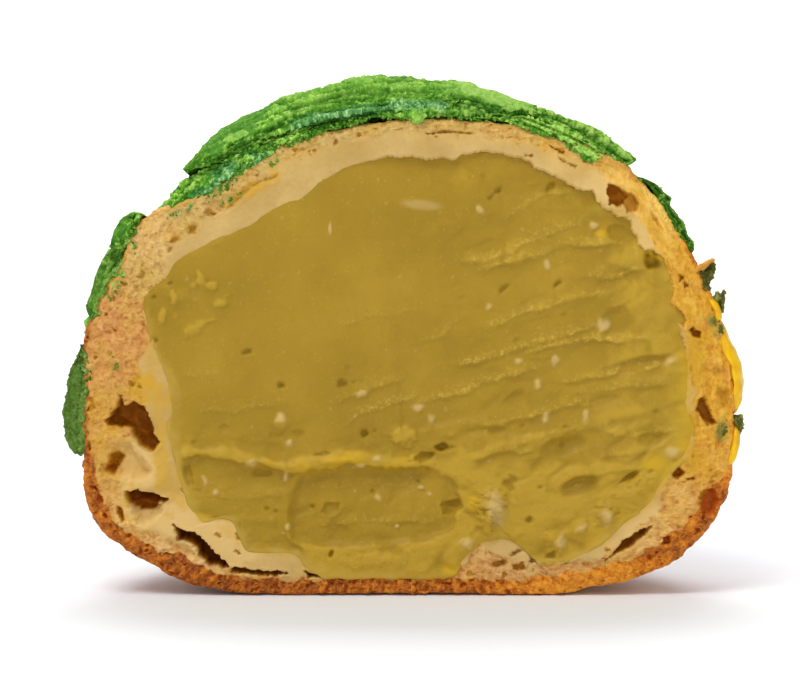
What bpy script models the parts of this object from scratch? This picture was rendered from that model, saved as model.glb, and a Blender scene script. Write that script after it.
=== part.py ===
"""Half of a round choux bun, cut through its middle: a browned choux shell with air pockets,
its pistachio cream, and the green craquelin crust that cracked into plates as the bun rose.

The cut face looks along -Y and the bun stands on its flat base, +Z up. Lengths are written in
millimetres and turned into metres where a mesh is made.
"""

import math
import random

import bmesh
import bpy
from mathutils import Vector, noise
from mathutils.bvhtree import BVHTree

MM = 0.001

# The bun's profile on each side of its axis, from the middle of the base round to the crown:
# (distance from the axis, height above the base).
CROWN = 58.6
SHELL_RIGHT = [(0, 0), (20, 0), (26, 1.2), (33, 3.6), (37.6, 8), (40, 13.5), (40.4, 21),
               (39.6, 28.6), (36.7, 37), (33.4, 45.2), (28.6, 52), (21.5, 55.6), (11, 58.3), (0, CROWN)]
SHELL_LEFT = [(0, 0), (19.5, 0), (26.6, 1.2), (33.5, 4.9), (37.9, 9.9), (39.4, 16), (39.2, 24.5),
              (38.8, 32), (35.6, 38), (33.2, 43.5), (28.8, 48), (21, 51.2), (10.6, 56.2), (0, CROWN)]

# The hollow that the cream fills, in the same way.
CREAM_TOP = 54.0
CREAM_FLOOR = 2.2
CREAM_RIGHT = [(0, CREAM_FLOOR), (8, 3.2), (16, 4.9), (23, 6.2), (30.2, 10.7), (34.4, 16.5), (35.8, 23),
               (34.8, 30.5), (32.6, 37.6), (28.2, 44), (23.4, 49.2), (17, 52.4), (9.5, 54.5), (0, CREAM_TOP)]
CREAM_LEFT = [(0, CREAM_FLOOR), (10, 2.8), (17.2, 6.1), (24, 12.9), (27.9, 20), (30.2, 27.4), (31.6, 34),
              (29, 40), (22.8, 43.6), (14.2, 48.4), (8.7, 52.2), (0, CREAM_TOP)]
CREAM_DEPTH_SHARE = 0.97  # the hollow is a little shallower behind than at its sides

FIT_GAP = 0.3  # between touching pieces
SHELL_STEPS, SHELL_TURNS = 32, 26  # points along a profile, and sectors round the half turn
HOLLOW_STEPS, HOLLOW_TURNS = 24, 20
CREAM_STEPS, CREAM_TURNS = 40, 16
LUMP_SIZE, LUMP_HEIGHT = 11.0, 0.75  # the swellings of a baked choux skin
RIM_ROUNDING = 1.3  # the crust's edge at the cut
SHARP_EDGE = math.radians(50)

# Air pockets that open at the cut face:
# name, (x, z) of the middle, half length, half width, half depth, tilt of the length in degrees.
POCKETS = [
    ("pocket_left_large", (-33.2, 21.2), 3.5, 1.7, 6.0, -52),
    ("pocket_left_shallow", (-35.4, 16.4), 2.3, 1.3, 2.2, 48),
    ("pocket_left_low", (-31.8, 11.6), 2.7, 1.5, 4.5, -12),
    ("pocket_base_left", (-25.0, 6.3), 4.4, 1.15, 5.0, -36),
    ("pocket_crown_right", (26.3, 49.0), 2.0, 1.4, 3.5, -32),
    ("pocket_side_right", (37.4, 22.8), 1.7, 0.9, 2.5, 105),
    ("pocket_base_right", (28.0, 5.6), 3.4, 0.75, 3.0, 27),
]

# The craquelin is laid out flat as a map seen from above: distance from the middle is the angle
# from the crown, in degrees, and the cut runs along the map's lower edge. Its plates are the
# cells round these middle points. The front row is where the cut crosses the crust.
MAP_CENTRE_HEIGHT = 20.0  # the height on the bun's axis that the angles are measured from
FRONT_ROW = [-84, -59.5, -34, -8.5, 12.5, 31, 51]
FRONT_ROW_BACK = 13.0
BACK_ROWS = [(34.0, 56.0, 6, -11.0), (58.0, 38.0, 5, -7.0)]  # distance back, half spread, plates, shift
CRUST_REACH_LEFT, CRUST_REACH_RIGHT, CRUST_REACH_BACK = 93.0, 58.0, 79.0
CRACK_AT_CROWN, CRACK_AT_RIM = 0.5, 2.6  # half width of a crack, in degrees
PLATE_EDGE_POINTS, PLATE_RINGS = 15, 3
PLATE_UNEVEN = 1.3  # how far an edge point wanders, in degrees
PLATE_THICK = 3.0
PLATE_EDGE_THICK = 0.62  # an edge's share of the thickness
FRONT_THICK = [2.8, 3.0, 2.6, 5.4, 4.8, 2.9, 1.6]
# Plates that stand off the bun at one end: front row order, and lift at their left and right ends.
LIFTED = {3: (0.8, 0.4), 4: (0.5, 0.6), 5: (0.7, 0.5)}

# The plate that broke loose and rides over the front row, left of the crown.
UPPER_PLATE = (-39.0, -21.8)  # from and to, in degrees
UPPER_BACK, UPPER_THICK, UPPER_LIFT = 19.0, 3.0, 3.0

# Broken bits of craquelin on the bun's right side: (angle from the crown, angle back), half sizes.
CHIPS = [
    ("chip_shoulder", (64.5, 2.5), (2.6, 2.4, 1.2)),
    ("chip_side", (71.8, 4.0), (1.8, 2.0, 0.9)),
    ("chip_low", (88.0, 2.6), (1.6, 1.9, 0.7)),
]

# The cut cream's relief: how deep it lies behind the knife's plane.
FACE_COLUMNS = 20
EDGE_FADE = 2.5
LEDGE_HEIGHT, LEDGE_DROP, LEDGE_SOFT = 16.2, 1.3, 1.0  # the torn step across its lower half
DRAG_STEP, DRAG_DEPTH, DRAG_SLOPE = 7.0, 0.8, 0.26  # the knife's drag ridges on the right
TORN_LUMP, TORN_LUMP_SIZE, TORN_LUMP_DEPTH = (10.4, 10.5), 3.6, 1.0

COLOURS = {  # base colour, roughness
    "choux": ((0.50, 0.27, 0.09, 1), 0.62),
    "cream": ((0.42, 0.26, 0.03, 1), 0.45),
    "craquelin": ((0.15, 0.36, 0.06, 1), 0.8),
}


def clear_scene():
    for obj in list(bpy.data.objects):
        bpy.data.objects.remove(obj)


def material(name):
    colour, roughness = COLOURS[name]
    made = bpy.data.materials.new(name)
    made.use_nodes = True
    shader = made.node_tree.nodes["Principled BSDF"]
    shader.inputs["Base Color"].default_value = colour
    shader.inputs["Roughness"].default_value = roughness
    shader.inputs["Metallic"].default_value = 0.0
    made.diffuse_color = colour
    return made


def add_object(name, form, look=None):
    """Turns a bmesh in millimetres into an object in metres."""
    bmesh.ops.scale(form, vec=(MM, MM, MM), verts=form.verts)
    bmesh.ops.recalc_face_normals(form, faces=form.faces)
    mesh = bpy.data.meshes.new(name)
    form.to_mesh(mesh)
    form.free()
    obj = bpy.data.objects.new(name, mesh)
    bpy.context.scene.collection.objects.link(obj)
    if look is not None:
        mesh.materials.append(look)
        mesh.shade_smooth()
        mesh.set_sharp_from_angle(angle=SHARP_EDGE)
    return obj


def smooth_profile(points, count):
    """count points, evenly spaced along the smooth curve that passes through the given ones."""
    ends = [Vector((-points[1][0], points[1][1])), Vector((-points[-2][0], points[-2][1]))]
    knots = [ends[0], *map(Vector, points), ends[1]]
    fine = []
    for before, start, end, after in zip(knots, knots[1:], knots[2:], knots[3:]):
        for step in range(12):
            t = step / 12
            fine.append(0.5 * (2 * start + (end - before) * t
                               + (2 * before - 5 * start + 4 * end - after) * t * t
                               + (3 * start - before - 3 * end + after) * t ** 3))
    fine.append(knots[-2])
    along = [0.0]
    for a, b in zip(fine, fine[1:]):
        along.append(along[-1] + (b - a).length)
    spaced, at = [], 0
    for index in range(count):
        want = along[-1] * index / (count - 1)
        while at < len(fine) - 2 and along[at + 1] < want:
            at += 1
        share = (want - along[at]) / (along[at + 1] - along[at])
        spaced.append(fine[at].lerp(fine[at + 1], min(share, 1.0)))
    return spaced


def smooth_step(value, start, end):
    share = min(1.0, max(0.0, (value - start) / (end - start)))
    return share * share * (3 - 2 * share)


def cut_cream_depth(x, z):
    """How far the cut cream lies behind the knife's plane."""
    ledge = LEDGE_HEIGHT + 0.6 * math.sin(x / 4.0)
    below = LEDGE_DROP * smooth_step(ledge - z, -LEDGE_SOFT, LEDGE_SOFT) * smooth_step(-x, -6.0, 2.0)
    across = (z - DRAG_SLOPE * x) / DRAG_STEP
    drag = DRAG_DEPTH * (0.5 + 0.5 * math.sin(2 * math.pi * across)) * smooth_step(x, -12.0, 10.0)
    away = math.hypot(x - TORN_LUMP[0], z - TORN_LUMP[1]) / TORN_LUMP_SIZE
    hollow = TORN_LUMP_DEPTH * math.exp(-(away - 1.2) ** 2 * 4)
    return below + drag + hollow


def close_with_relief(form, right, left, bottom, top, depth):
    """Closes the flat side of a form with rows of points, each as far back as depth gives.

    right and left are its edges from the bottom to the top, and a row joins the points that match.
    """
    rows = []
    for start, end in zip(right, left):
        inner = [start.co.lerp(end.co, step / FACE_COLUMNS) for step in range(1, FACE_COLUMNS)]
        for point in inner:
            edge = min((point - start.co).length, (point - end.co).length,
                       abs(point.z - bottom.co.z), abs(point.z - top.co.z))
            point.y = depth(point.x, point.z) * min(1.0, edge / EDGE_FADE)
        rows.append([start, *map(form.verts.new, inner), end])
    for lower, upper in zip(rows, rows[1:]):
        for index in range(FACE_COLUMNS):
            form.faces.new((lower[index], upper[index], upper[index + 1], lower[index + 1]))
    for index in range(FACE_COLUMNS):
        form.faces.new((bottom, rows[0][index], rows[0][index + 1]))
        form.faces.new((top, rows[-1][index + 1], rows[-1][index]))


def half_turned(right, left, steps, turns, outset=0.0, depth_share=1.0, front=0.0, relief=False):
    """A solid turned half way round the Z axis, whose profile passes from right to left.

    outset grows it all round, front moves its flat side forwards, and relief gives that side the
    cut cream's relief.
    """
    right, left = smooth_profile(right, steps), smooth_profile(left, steps)
    form = bmesh.new()
    middle = 0.5 * (right[0].y + right[-1].y)
    columns = []
    for turn in range(turns + 1):
        angle = math.pi * turn / turns
        share = (1 - math.cos(angle)) / 2
        column = []
        for index in range(1, steps - 1):
            radius, height = right[index].lerp(left[index], share)
            away = Vector((radius, height - middle)).normalized() * outset
            reach = radius + away.x
            y = reach * math.sin(angle) * depth_share
            column.append(form.verts.new((reach * math.cos(angle), y, height + away.y)))
        columns.append(column)
    bottom = form.verts.new((0, 0, right[0].y - outset))
    top = form.verts.new((0, 0, right[-1].y + outset))
    for near, far in zip(columns, columns[1:]):
        form.faces.new((bottom, near[0], far[0]))
        form.faces.new((near[-1], top, far[-1]))
        for index in range(steps - 3):
            form.faces.new((near[index], near[index + 1], far[index + 1], far[index]))
    if relief:
        close_with_relief(form, columns[0], columns[-1], bottom, top, cut_cream_depth)
        return form
    flat_side = [bottom, *columns[0], top, *reversed(columns[-1])]
    form.faces.new(flat_side)
    for vert in flat_side:
        vert.co.y -= front
    return form


def swell(form):
    """Gives the choux skin its broad lumps. The base and the cut face stay flat."""
    for vert in form.verts:
        point = vert.co
        outward = Vector((point.x, point.y, point.z - MAP_CENTRE_HEIGHT)).normalized()
        free = min(1.0, max(0.0, point.z - 1.0) / 6.0) * min(1.0, point.y / 5.0)
        vert.co = point + outward * (noise.noise(point / LUMP_SIZE) * 2 * LUMP_HEIGHT * free)


def round_rim(form):
    """Rounds the crust's edge where the knife went through, above the base."""
    edges = [e for e in form.edges
             if all(abs(v.co.y) < 1e-6 and v.co.z > 1.0 for v in e.verts)
             and any(abs(f.normal.y) < 0.7 for f in e.link_faces)]
    bmesh.ops.bevel(form, geom=edges, offset=RIM_ROUNDING, segments=2, profile=0.5, affect="EDGES",
                    clamp_overlap=True)


def pocket_form(middle, half_length, half_width, half_depth, tilt):
    form = bmesh.new()
    bmesh.ops.create_icosphere(form, subdivisions=2, radius=1.0)
    bmesh.ops.scale(form, vec=(half_length, half_depth, half_width), verts=form.verts)
    turn = math.radians(tilt)
    for vert in form.verts:
        x, y, z = vert.co
        rough = 1 + 0.22 * noise.noise(Vector((x, y, z)) * 0.9 + Vector((middle[0], 0, middle[1])))
        vert.co = Vector((middle[0] + (x * math.cos(turn) - z * math.sin(turn)) * rough, y - 0.13,
                          middle[1] + (x * math.sin(turn) + z * math.cos(turn)) * rough))
    return form


def cut_away(obj, cutter):
    cutter.hide_render = True
    cutter.display_type = "WIRE"
    cut = obj.modifiers.new(cutter.name, "BOOLEAN")
    cut.operation = "DIFFERENCE"
    cut.solver = "EXACT"
    cut.object = cutter


def build_shell(look):
    """The choux shell, and the plain bun that the craquelin is laid over."""
    form = half_turned(SHELL_RIGHT, SHELL_LEFT, SHELL_STEPS, SHELL_TURNS)
    swell(form)
    bun = BVHTree.FromBMesh(form)
    form.normal_update()
    round_rim(form)
    shell = add_object("choux_shell", form, look)
    hollow = half_turned(CREAM_RIGHT, CREAM_LEFT, HOLLOW_STEPS, HOLLOW_TURNS, outset=FIT_GAP,
                         depth_share=CREAM_DEPTH_SHARE, front=2.0)
    cut_away(shell, add_object("cutter_hollow", hollow))
    for name, middle, half_length, half_width, half_depth, tilt in POCKETS:
        form = pocket_form(middle, half_length, half_width, half_depth, tilt)
        cut_away(shell, add_object("cutter_" + name, form))
    return shell, bun


def build_cream(look):
    form = half_turned(CREAM_RIGHT, CREAM_LEFT, CREAM_STEPS, CREAM_TURNS,
                       depth_share=CREAM_DEPTH_SHARE, relief=True)
    return add_object("pistachio_cream", form, look)


def direction(across, back):
    """The direction from the bun's middle of a point on the craquelin's map, in degrees."""
    angle = math.radians(math.hypot(across, back))
    heading = math.atan2(back, across)
    return Vector((math.sin(angle) * math.cos(heading), math.sin(angle) * math.sin(heading),
                   math.cos(angle)))


def on_bun(bun, across, back, above):
    """The point that lies above the bun's skin there, measured outwards from its middle."""
    middle = Vector((0, 0, MAP_CENTRE_HEIGHT))
    heading = direction(across, max(back, 0.05))
    hit = bun.ray_cast(middle + heading * 5 + Vector((0, 0.02, 0)), heading)[0]
    point = hit + heading * above
    if back <= 0.0:
        point.y = 0.0
    return point


def crust_reach(heading):
    """How far from the crown the craquelin goes, by its heading on the map from right to left."""
    side = CRUST_REACH_RIGHT if math.cos(heading) > 0 else CRUST_REACH_LEFT
    return CRUST_REACH_BACK + (side - CRUST_REACH_BACK) * abs(math.cos(heading)) ** 3


def plate_middles():
    """The middle points of the plates on the map: the front row first, then the rows behind."""
    rng = random.Random(7)
    middles = [Vector((across, FRONT_ROW_BACK + rng.uniform(-1.5, 1.5))) for across in FRONT_ROW]
    for back, half_spread, count, shift in BACK_ROWS:
        for index in range(count):
            across = half_spread * (2 * index / (count - 1) - 1) + shift
            middles.append(Vector((across + rng.uniform(-4, 4), back + rng.uniform(-3.5, 3.5))))
    return middles


def clipped(outline, point, normal):
    """The part of a convex outline on the side of a line that its normal points away from."""
    kept = []
    for a, b in zip(outline, outline[1:] + outline[:1]):
        side_a, side_b = (a - point).dot(normal), (b - point).dot(normal)
        if side_a <= 0:
            kept.append(a)
        if (side_a < 0) != (side_b < 0) and side_a != side_b:
            kept.append(a.lerp(b, side_a / (side_a - side_b)))
    return kept


def plate_outline(own, middles):
    """The cell round one middle point, shrunk by half a crack, as evenly spaced points."""
    limit = 110.0
    outline = [Vector(p) for p in ((-limit, 0), (limit, 0), (limit, limit), (-limit, limit))]
    for other in middles:
        if other is own:
            continue
        way = (other - own).normalized()
        between = (own + other) / 2
        distance = min(1.0, between.length / CRUST_REACH_BACK)
        crack = CRACK_AT_CROWN + (CRACK_AT_RIM - CRACK_AT_CROWN) * distance ** 2
        outline = clipped(outline, between - way * crack, way)
    for step in range(24):
        heading = math.pi * (step + 0.5) / 24
        way = Vector((math.cos(heading), math.sin(heading)))
        outline = clipped(outline, way * crust_reach(heading), way)
    sides = [(b - a).length for a, b in zip(outline, outline[1:] + outline[:1])]
    spaced, total = [], sum(sides)
    for index in range(PLATE_EDGE_POINTS):
        want, at = total * index / PLATE_EDGE_POINTS, 0
        while want > sides[at]:
            want -= sides[at]
            at += 1
        spaced.append(outline[at].lerp(outline[(at + 1) % len(outline)], want / sides[at]))
    return spaced


def plate_form(bun, outline, thick, lift, flat_lift=False):
    """A plate over the bun: rings of points from its edge to its middle, above and below."""
    middle = sum(outline, Vector((0, 0))) / len(outline)
    left, right = min(p.x for p in outline), max(p.x for p in outline)
    form = bmesh.new()

    def add(point, above):
        share = (point.x - left) / (right - left)
        raised = lift[0] if flat_lift else lift[0] * (1 - share) ** 2 + lift[1] * share ** 2
        return form.verts.new(on_bun(bun, point.x, point.y, FIT_GAP * 2 + raised + above))

    def surface(above, edge_above):
        rings = []
        for ring in range(PLATE_RINGS):
            share = 1 - ring / PLATE_RINGS
            height = edge_above if ring == 0 else above
            rings.append([add(middle.lerp(p, share), height) for p in outline])
        tip = add(middle, above)
        for outer, inner in zip(rings, rings[1:]):
            for index in range(len(outer)):
                after = (index + 1) % len(outer)
                form.faces.new((outer[index], outer[after], inner[after], inner[index]))
        for index in range(len(outline)):
            form.faces.new((rings[-1][index], rings[-1][(index + 1) % len(outline)], tip))
        return rings[0]

    upper = surface(thick, thick * PLATE_EDGE_THICK)
    lower = surface(0.0, 0.0)
    for index in range(len(outline)):
        after = (index + 1) % len(outline)
        form.faces.new((upper[after], upper[index], lower[index], lower[after]))
    return form


def build_craquelin(look, bun):
    middles = plate_middles()
    rng = random.Random(11)
    for number, own in enumerate(middles):
        outline = plate_outline(own, middles)
        for index, point in enumerate(outline):
            if point.y > 1e-3:
                wander = Vector((rng.uniform(-1, 1), rng.uniform(-1, 1))) * PLATE_UNEVEN
                outline[index] = Vector((point.x + wander.x, max(point.y + wander.y, 1.0)))
        thick = PLATE_THICK * rng.uniform(0.85, 1.05)
        if number < len(FRONT_ROW):
            thick = FRONT_THICK[number]
        form = plate_form(bun, outline, thick, LIFTED.get(number, (0.0, 0.0)))
        add_object(f"craquelin_{number + 1:02d}", form, look)
    start, end = UPPER_PLATE
    outline = []
    for index in range(PLATE_EDGE_POINTS):
        turn = math.pi * index / (PLATE_EDGE_POINTS - 1)
        across = (start + end) / 2 + (end - start) / 2 * math.cos(turn)
        outline.append(Vector((across, UPPER_BACK * math.sin(turn) ** 0.7)))
    form = plate_form(bun, outline, UPPER_THICK, (UPPER_LIFT, UPPER_LIFT), flat_lift=True)
    add_object("craquelin_upper", form, look)


def build_chips(look, bun):
    for name, (across, back), (length, width, thick) in CHIPS:
        form = bmesh.new()
        bmesh.ops.create_icosphere(form, subdivisions=2, radius=1.0)
        at = on_bun(bun, across, back, thick + FIT_GAP)
        outward = direction(across, back)
        turn = Vector((0, 0, 1)).rotation_difference(outward).to_matrix()
        for vert in form.verts:
            rough = 1 + 0.3 * noise.noise(vert.co * 1.6 + at / 7)
            sized = Vector((vert.co.x * length, vert.co.y * width, vert.co.z * thick)) * rough
            vert.co = at + turn @ sized
            vert.co.y = max(vert.co.y, 0.0)
        add_object("craquelin_" + name, form, look)


def stand_on_origin():
    """Puts the middle of the half bun's base at the origin."""
    bpy.context.view_layer.update()
    shown = [o for o in bpy.context.scene.objects if not o.hide_render]
    corners = [o.matrix_world @ Vector(c) for o in shown for c in o.bound_box]
    low = Vector(map(min, *corners))
    high = Vector(map(max, *corners))
    base = bpy.data.objects.new("half_bun", None)
    bpy.context.scene.collection.objects.link(base)
    for obj in [o for o in bpy.context.scene.objects if o is not base]:
        obj.parent = base
    base.location = (-(low.x + high.x) / 2, -(low.y + high.y) / 2, -low.z)


def main():
    clear_scene()
    choux, cream, craquelin = (material(name) for name in COLOURS)
    bun = build_shell(choux)[1]
    build_cream(cream)
    build_craquelin(craquelin, bun)
    build_chips(craquelin, bun)
    stand_on_origin()


main()
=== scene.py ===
import math
import random
from contextlib import contextmanager

import bmesh
import bpy
import numpy as np
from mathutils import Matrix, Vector


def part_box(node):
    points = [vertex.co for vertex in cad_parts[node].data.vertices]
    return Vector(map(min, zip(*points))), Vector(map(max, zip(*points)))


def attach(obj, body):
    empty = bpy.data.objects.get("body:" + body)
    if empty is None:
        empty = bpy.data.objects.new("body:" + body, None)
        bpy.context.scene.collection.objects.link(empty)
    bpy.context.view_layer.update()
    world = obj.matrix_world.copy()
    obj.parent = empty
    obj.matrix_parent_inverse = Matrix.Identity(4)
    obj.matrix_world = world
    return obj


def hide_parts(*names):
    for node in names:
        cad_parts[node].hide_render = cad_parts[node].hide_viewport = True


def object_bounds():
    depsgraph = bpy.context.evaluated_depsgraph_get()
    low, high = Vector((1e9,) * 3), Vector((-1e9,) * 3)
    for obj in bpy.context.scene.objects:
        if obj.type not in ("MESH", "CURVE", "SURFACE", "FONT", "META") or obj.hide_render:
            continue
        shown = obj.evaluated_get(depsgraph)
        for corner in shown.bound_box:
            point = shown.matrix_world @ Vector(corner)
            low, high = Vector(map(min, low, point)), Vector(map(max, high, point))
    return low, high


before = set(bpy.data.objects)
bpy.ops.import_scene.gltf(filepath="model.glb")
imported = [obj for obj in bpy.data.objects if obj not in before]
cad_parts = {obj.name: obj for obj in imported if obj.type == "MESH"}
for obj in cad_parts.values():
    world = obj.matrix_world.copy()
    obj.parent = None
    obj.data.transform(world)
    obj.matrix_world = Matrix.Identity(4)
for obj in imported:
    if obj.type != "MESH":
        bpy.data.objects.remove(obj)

cad_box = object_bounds()

# ---------------------------------------------------------------- places and sizes
# Lengths are in millimetres from the bun's axis, the cut and the base, and placed() turns them
# into the frame's metres.
shell_low, shell_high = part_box("choux_shell")
SHELL_WIDTH = 80.2
AXIS_SHARE = 0.492  # where the bun's axis stands across the shell
SCALE = (shell_high.x - shell_low.x) / SHELL_WIDTH
ORIGIN = np.array((shell_low.x + AXIS_SHARE * (shell_high.x - shell_low.x), shell_low.y, shell_low.z))
HEART = 20.0  # height of the point that angles round the bun are measured from


def placed(points):
    """Millimetres across, back and up, as the frame's metres."""
    return ORIGIN + np.asarray(points, float) * SCALE


# ---------------------------------------------------------------- roughness in numbers
def jumble(cells, seed):
    """A repeatable random number from 0 to 1 for every whole-numbered cell."""
    x, y, z = (cells[..., axis].astype(np.int64).astype(np.uint32) for axis in range(3))
    mixed = x * np.uint32(0x8DA6B343) ^ y * np.uint32(0xD8163841) ^ z * np.uint32(0xCB1AB31F)
    mixed = mixed ^ np.uint32((seed * 0x9E3779B9) & 0xFFFFFFFF)
    for shift, factor in ((16, 0x7FEB352D), (15, 0x846CA68B)):
        mixed = (mixed ^ (mixed >> np.uint32(shift))) * np.uint32(factor)
    return (mixed ^ (mixed >> np.uint32(16))) / 4294967296.0


def swell(points, size, seed=0):
    """Smooth noise of about -1 to 1 whose swellings are about size across."""
    scaled = np.asarray(points, float) / size
    cell = np.floor(scaled)
    inside = scaled - cell
    ease = inside ** 3 * (inside * (inside * 6 - 15) + 10)
    total = np.zeros(scaled.shape[:-1])
    for corner in np.ndindex(2, 2, 2):
        step = np.array(corner)
        offset = inside - step
        pull = sum((jumble(cell + step, seed * 3 + axis) * 2 - 1) * offset[..., axis] for axis in range(3))
        weight = np.prod(np.where(step == 1, ease, 1 - ease), axis=-1)
        total += weight * pull
    return total * 1.6


def rough(points, size, seed=0, layers=3, gain=0.5):
    """Noise in several layers, each half as large as the last."""
    total, strength, whole = 0.0, 1.0, 0.0
    for layer in range(layers):
        total = total + swell(points, size / 2 ** layer, seed + 17 * layer) * strength
        whole += strength
        strength *= gain
    return total / whole * 1.5


def grains(points, size, seed=0):
    """For grains about size across: the distance to the nearest middle and to the next, in sizes,
    and the grain's own random number."""
    scaled = np.asarray(points, float) / size
    cell = np.floor(scaled)
    near = np.full(scaled.shape[:-1], 9.0)
    nearly = near.copy()
    own = np.zeros_like(near)
    for corner in np.ndindex(3, 3, 3):
        other = cell + np.array(corner) - 1
        middle = other + np.stack([jumble(other, seed * 5 + axis) for axis in range(3)], axis=-1)
        away = np.linalg.norm(scaled - middle, axis=-1)
        closer = away < near
        nearly = np.where(closer, near, np.minimum(nearly, away))
        own = np.where(closer, jumble(other, seed * 5 + 3), own)
        near = np.where(closer, away, near)
    return near, nearly, own


def ramp(value, start, end):
    """0 before start and 1 after end, with a smooth change between."""
    share = np.clip((value - start) / (end - start), 0.0, 1.0)
    return share * share * (3 - 2 * share)


def broken_crumb(points, size, seed):
    """Crumbs of about the size as angular bits at many heights: their height and how deep in a crack."""
    bent = points + size * 0.45 * np.stack([swell(points, size * 1.3, seed + axis) for axis in range(3)], axis=-1)
    near, nearly, own = grains(bent, size, seed)
    crack = 1 - ramp(nearly - near, 0.02, 0.26)
    return (own - 0.5) * (1 - crack) - 0.45 * crack + (0.4 - near) * 0.35, crack


def open_crumb(points, seed):
    """Soft crumb: the height of its strands and fluff, and how deep in one of its small gaps."""
    bent = points + 0.5 * np.stack([swell(points, 1.2, seed + axis) for axis in range(3)], axis=-1)
    strands = 0.22 - np.abs(swell(bent / (1.9, 1.0, 1.0), 0.52, seed + 3))
    crossed = 0.22 - np.abs(swell(bent / (1.0, 1.0, 1.9), 0.60, seed + 4))
    fluff = rough(points, 0.8, seed + 5, 3, 0.7)
    gaps = ramp(rough(bent, 0.62, seed + 6, 2), 0.46, 0.80)
    return np.maximum(strands, crossed) * 1.1 + fluff * 0.55, gaps


def spot(x, z, middle, half, tilt=0.0):
    """How far a point is from an oval's middle, where 1 is the oval's edge."""
    turn = math.radians(tilt)
    across, up = x - middle[0], z - middle[1]
    along = across * math.cos(turn) + up * math.sin(turn)
    aside = -across * math.sin(turn) + up * math.cos(turn)
    return np.hypot(along / half[0], aside / half[1])


def within(x, z, outline):
    """Distance from an outline's edge, above 0 inside it."""
    points = np.asarray(outline, float)
    inside = np.zeros(np.shape(x), bool)
    away = np.full(np.shape(x), 1e9)
    for (ax, az), (bx, bz) in zip(points, np.roll(points, -1, axis=0)):
        run, rise = bx - ax, bz - az
        share = np.clip(((x - ax) * run + (z - az) * rise) / (run * run + rise * rise), 0, 1)
        away = np.minimum(away, np.hypot(x - ax - share * run, z - az - share * rise))
        crosses = (az > z) != (bz > z)
        with np.errstate(divide="ignore", invalid="ignore"):
            inside ^= crosses & (x < ax + run * (z - az) / rise)
    return np.where(inside, away, -away)


def smooth_loop(points, steps=14):
    """A closed smooth curve through the points."""
    knots = np.asarray(points, float)
    before, start, end, after = (np.roll(knots, shift, axis=0) for shift in (1, 0, -1, -2))
    curve = []
    for step in range(steps):
        t = step / steps
        curve.append(0.5 * (2 * start + (end - before) * t
                            + (2 * before - 5 * start + 4 * end - after) * t * t
                            + (3 * start - before - 3 * end + after) * t ** 3))
    return np.stack(curve, axis=1).reshape(-1, 2)


def smooth_line(points, steps=6):
    """An open smooth curve through the points."""
    knots = np.asarray(points, float)
    knots = np.concatenate([[2 * knots[0] - knots[1]], knots, [2 * knots[-1] - knots[-2]]])
    before, start, end, after = knots[:-3], knots[1:-2], knots[2:-1], knots[3:]
    curve = [0.5 * (2 * start + (end - before) * t + (2 * before - 5 * start + 4 * end - after) * t * t
                    + (3 * start - before - 3 * end + after) * t ** 3) for t in np.arange(steps) / steps]
    return np.concatenate([np.stack(curve, axis=1).reshape(-1, 2), knots[-2:-1]])


class Outline:
    """A closed outline on the cut, read as a distance from the bun's heart at any angle."""

    def __init__(self, points):
        loop = smooth_loop(points) - (0.0, HEART)
        angle = np.unwrap(np.arctan2(loop[:, 1], loop[:, 0]))
        if angle[-1] < angle[0]:
            loop, angle = loop[::-1], angle[::-1]
        angle = np.maximum.accumulate(angle)
        radius = np.hypot(loop[:, 0], loop[:, 1])
        self.angle = np.concatenate([angle - 2 * np.pi, angle, angle + 2 * np.pi])
        self.radius = np.tile(radius, 3)

    def __call__(self, angle):
        turned = np.mod(np.asarray(angle, float), 2 * np.pi)
        return np.interp(turned, self.angle, self.radius)

    def soft(self, angle, spread):
        """The same distance, averaged over the spread in degrees to either side."""
        sides = np.radians(np.linspace(-spread, spread, 25))
        return np.mean([self(angle + side) for side in sides], axis=0)


def round_keys(angle, keys, column):
    """A value that changes smoothly round the cut, from (degrees, value, ...) keys."""
    degrees = np.mod(np.degrees(angle), 360)
    at = [key[0] for key in keys]
    values = [key[column] for key in keys]
    at = [at[-1] - 360, *at, at[0] + 360]
    values = [values[-1], *values, values[0]]
    place = np.clip(np.searchsorted(at, degrees, side="right") - 1, 0, len(at) - 2)
    at, values = np.array(at, float), np.array(values, float)
    share = (degrees - at[place]) / (at[place + 1] - at[place])
    share = share * share * (3 - 2 * share)
    return values[place] + (values[place + 1] - values[place]) * share


# ---------------------------------------------------------------- the bun's own form
# The choux skin where the knife went through it, from the crown round by the left side.
SKIN = Outline([
    (3.4, 58.7), (-2.5, 58.3), (-7.7, 57.5), (-14.3, 56.0), (-18.7, 53.2), (-24.7, 49.5), (-29.0, 47.8),
    (-32.2, 45.9), (-34.5, 41.1), (-37.1, 36.4), (-39.0, 32.7), (-39.2, 27.0), (-39.3, 20.5),
    (-39.2, 14.0), (-37.9, 9.3), (-35.2, 6.4), (-31.2, 3.9), (-27.4, 1.7), (-23.4, 0.6), (-18, 0.0),
    (-10, 0.0), (0, 0.0), (10, 0.0), (19.0, 0.0), (24.2, 1.0), (29.1, 2.0), (34.0, 4.5), (37.6, 8.2),
    (40.0, 12.6), (41.0, 19.3), (41.0, 25.6), (40.2, 31.1), (38.4, 35.6), (36.5, 40.1), (34.6, 44.4),
    (31.0, 49.3), (26.7, 53.4), (21.2, 56.3), (13.2, 58.2),
])

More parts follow.
